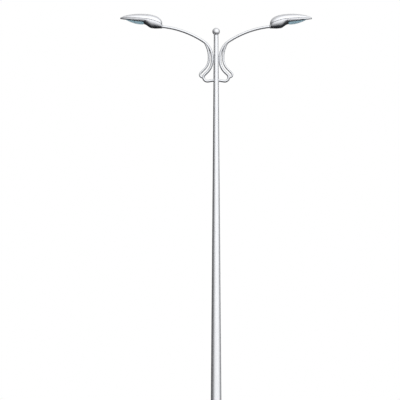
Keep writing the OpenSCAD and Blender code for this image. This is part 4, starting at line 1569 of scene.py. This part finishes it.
class COLUMN_OT_bowls(bpy.types.Operator):
    """Replaces the glass bowls by smooth ones"""

    bl_idname = "column.bowls"
    bl_label = "Glass Bowls"

    def execute(self, context):
        lamp, s = lamp_now()
        rows = [lamp.bowl_row(u) for u in lamp.bowl_stations()]
        rows = [gather(rows[0], s.rim_v)] + rows + [gather(rows[-1], s.rim_v)]
        shell = skin(rows, s.bowl_wall)
        lamp_pair("glass_bowl", shell, "blue_green_glass", "lamp_glass", sharp=60)
        return {"FINISHED"}


class COLUMN_OT_optics(bpy.types.Operator):
    """Replaces reflectors and bulbs by finer ones, and coats the lampholders"""

    bl_idname = "column.optics"
    bl_label = "Reflectors and Bulbs"

    # Where the reflector starts and ends, in sixteenths of the bowl
    FIRST, LAST = 3, 14
    # The bulb's neck: share of its radius, and distance from its holder; then its round end
    NECK = ((0, 0), (0.62, 0), (0.66, 0.012), (0.84, 0.03), (1, 0.05))
    END_ANGLES = (0.3, 0.6, 0.9, 1.2, 1.4)

    def execute(self, context):
        lamp, s = lamp_now()
        last = lamp.bowl_stations(0, 16)[self.LAST]
        foot = s.rim_v + s.gasket_t
        stations = [u for u in lamp.bowl_stations(self.FIRST, 40) if u <= last]
        rows = [lamp.reflector_row(u) for u in stations]
        rows.append(gather(rows[-1], foot))
        shell = skin(rows, s.reflector_wall)
        lamp_pair("reflector", shell, "hammered_reflector", "reflector_metal")
        coat("white_ceramic", "lampholder_right", "lampholder_left")
        r, straight = s.bulb_d / 2, s.bulb_l - s.bulb_d / 2
        tube = [(r * share, along) for share, along in self.NECK] + [(r, straight)]
        for a in self.END_ANGLES:
            tube.append((r * math.cos(a), straight + r * math.sin(a)))
        bm = lathe(tube + [(0, s.bulb_l)], closed=False)
        start = Matrix.Translation((stations[0] + s.holder_l, 0, foot + s.bulb_v))
        bm.transform(start @ Matrix.Rotation(math.pi / 2, 4, "Y"))
        lamp_pair("bulb", bm, "pearl_glass", "bulb_glass")
        return {"FINISHED"}


class COLUMN_OT_stage(bpy.types.Operator):
    """Sets the camera, the lights, the white surroundings and the pale floor"""

    bl_idname = "column.stage"
    bl_label = "Stage"

    WHITE = (1, 1, 1)
    FLOOR_DROP = 0.002
    # Shares of the floor's radius between which it fades out
    FADE = (0.55, 0.98)

    def execute(self, context):
        scene, stage = context.scene, context.scene.column_stage
        scene.view_settings.view_transform = "Standard"
        self.camera(scene, stage)
        self.sun("key_light", stage, stage.key, stage.key_side, 1)
        self.sun("back_light", stage, stage.back, stage.back_side, 2)
        self.surroundings(scene, stage)
        self.floor(stage, scene.column_colours)
        self.reflected_room(stage)
        return {"FINISHED"}

    def camera(self, scene, stage):
        """A far camera at the height of the picture's middle, looking along +Y."""
        data = bpy.data.cameras.new("picture_view")
        data.sensor_width = 36
        data.lens = data.sensor_width * stage.view_distance / stage.view_w
        data.clip_end = 400
        scene.camera = link("picture_view", data)
        scene.camera.location = (stage.view_x, -stage.view_distance, stage.view_z)
        scene.camera.rotation_euler = (math.pi / 2, 0, 0)

    def sun(self, name, stage, strength, side, softer):
        """A distant soft light at the key light's height, at a side angle."""
        towards = Vector((math.sin(side), -math.cos(side), math.tan(stage.key_height)))
        data = bpy.data.lights.new(name, "SUN")
        data.energy = strength
        data.angle = stage.key_softness * softer
        made = link(name, data)
        made.visible_glossy = False
        made.rotation_euler = towards.to_track_quat("Z", "Y").to_euler()

    def rays(self, make, *kinds):
        """1 for rays of these kinds."""
        found = [make.node("ShaderNodeLightPath", output=f"Is {kind} Ray") for kind in kinds]
        return sum(found[1:], found[0])

    def surroundings(self, scene, stage):
        """White where it is seen, mirrored or looked at through glass, and dimmer as light."""
        scene.world = bpy.data.worlds.new("white_room")
        make = Finish(scene.world)
        light, glow = (
            make.node("ShaderNodeBackground", None, {"Color": self.WHITE, "Strength": strength})
            for strength in (stage.ambient, 1.0)
        )
        seen = self.rays(make, "Camera", "Glossy", "Transmission")
        shader = make.node("ShaderNodeMixShader", None, {0: seen, 1: light, 2: glow})
        make.node("ShaderNodeOutputWorld", None, {"Surface": shader})

    def prop(self, name, bm):
        """An object of the stage, with a material of its own."""
        made, material = link(name, mesh_of(name, bm)), bpy.data.materials.new(name)
        made.data.materials.append(material)
        return made, material

    def floor(self, stage, colours):
        """A pale disc that keeps the shadow and fades out at its edge."""
        bm = bmesh.new()
        bmesh.ops.create_circle(bm, cap_ends=True, radius=stage.floor_r, segments=128)
        bmesh.ops.translate(bm, verts=bm.verts, vec=(0, 0, -self.FLOOR_DROP))
        made, material = self.prop("pale_floor", bm)
        made.visible_glossy = False
        make = Finish(material)
        x, y, _ = make.axes(make.place())
        near, far = (stage.floor_r * share for share in self.FADE)
        edge = make.between((x**2 + y**2) ** 0.5, near, far)
        grain = make.mix(make.noise(3, 4) * 0.3, colours.floor, (0.35, 0.35, 0.36))
        plain = make.node("ShaderNodeBsdfDiffuse", None, {"Color": grain})
        dim = make.node("ShaderNodeBsdfDiffuse", None, {"Color": (0.42, 0.42, 0.42)})
        glow = make.node("ShaderNodeEmission", None, {"Color": self.WHITE, "Strength": 0.66})
        lifted = make.node("ShaderNodeAddShader", None, {0: dim, 1: glow})
        seen = self.rays(make, "Camera", "Transmission")
        shown = make.node("ShaderNodeMixShader", None, {0: seen, 1: plain, 2: lifted})
        gone = make.node("ShaderNodeBsdfTransparent")
        shader = make.node("ShaderNodeMixShader", None, {0: edge, 1: shown, 2: gone})
        make.node("ShaderNodeOutputMaterial", None, {"Surface": shader})

    def reflected_room(self, stage):
        """A ball that only reflections show: bright in front, with a lamp behind, dark beside."""
        bm = bmesh.new()
        bmesh.ops.create_icosphere(bm, subdivisions=5, radius=stage.room_r)
        made, material = self.prop("reflected_room", bm)
        made.location = (0, 0, stage.view_z)
        material.cycles.emission_sampling = "NONE"
        make = Finish(material)
        x, y, z = (along / stage.room_r for along in make.axes(make.place()))
        ahead = x * math.sin(stage.room_side) - y * math.cos(stage.room_side)
        lamp_height = stage.room_lamp_height
        lamp_way = ahead * math.cos(lamp_height) + z * math.sin(lamp_height)
        front = make.between(ahead, -0.1, 0.7) * make.between(z, -0.8, 0.0)
        ceiling = make.between(z, 0.1, 0.7) * stage.room_ceiling
        bright = front + ceiling - front * ceiling
        strength = bright * (stage.room_front - stage.room_dark)
        strength = strength + make.between(lamp_way, 0.2, 0.95) * stage.room_lamp
        strength = strength + make.between(y, 0.7, 0.98) * stage.room_back + stage.room_dark
        glow = make.node("ShaderNodeEmission", None, {"Color": self.WHITE, "Strength": strength})
        make.node("ShaderNodeOutputMaterial", None, {"Surface": glow})
        made.visible_camera = made.visible_diffuse = made.visible_transmission = False
        made.visible_shadow = made.visible_volume_scatter = False


OPERATORS = (
    COLUMN_OT_base,
    COLUMN_OT_shaft,
    COLUMN_OT_door,
    COLUMN_OT_arms,
    COLUMN_OT_canopies,
    COLUMN_OT_rear_castings,
    COLUMN_OT_gear_pans,
    COLUMN_OT_glass_frames,
    COLUMN_OT_bowls,
    COLUMN_OT_optics,
    COLUMN_OT_stage,
)
SETTINGS = {
    "column_sizes": ColumnSizes,
    "column_arms": ArmSizes,
    "column_lamps": LampSizes,
    "column_colours": FinishColours,
    "column_stage": StageSettings,
}


class COLUMN_PT_panel(bpy.types.Panel):
    """Lists the column's sizes, colours and steps"""

    bl_idname = "COLUMN_PT_panel"
    bl_label = "Lighting Column"
    bl_space_type = "VIEW_3D"
    bl_region_type = "UI"
    bl_category = "Column"

    def draw(self, context):
        for operator in OPERATORS:
            self.layout.operator(operator.bl_idname)
        for name, group in SETTINGS.items():
            box = self.layout.box()
            box.label(text=group.__doc__)
            for key in group.__annotations__:
                box.prop(getattr(context.scene, name), key)


CLASSES = (*SETTINGS.values(), *OPERATORS, COLUMN_PT_panel)


def register():
    for made in CLASSES:
        bpy.utils.register_class(made)
    for name, group in SETTINGS.items():
        setattr(bpy.types.Scene, name, PointerProperty(type=group))


def unregister():
    for name in SETTINGS:
        delattr(bpy.types.Scene, name)
    for made in reversed(CLASSES):
        bpy.utils.unregister_class(made)


def main():
    """Dresses the whole column."""
    register()
    for operator in OPERATORS:
        group, name = operator.bl_idname.split(".")
        getattr(getattr(bpy.ops, group), name)()
    bpy.context.view_layer.update()


if __name__ == "__main__":
    main()
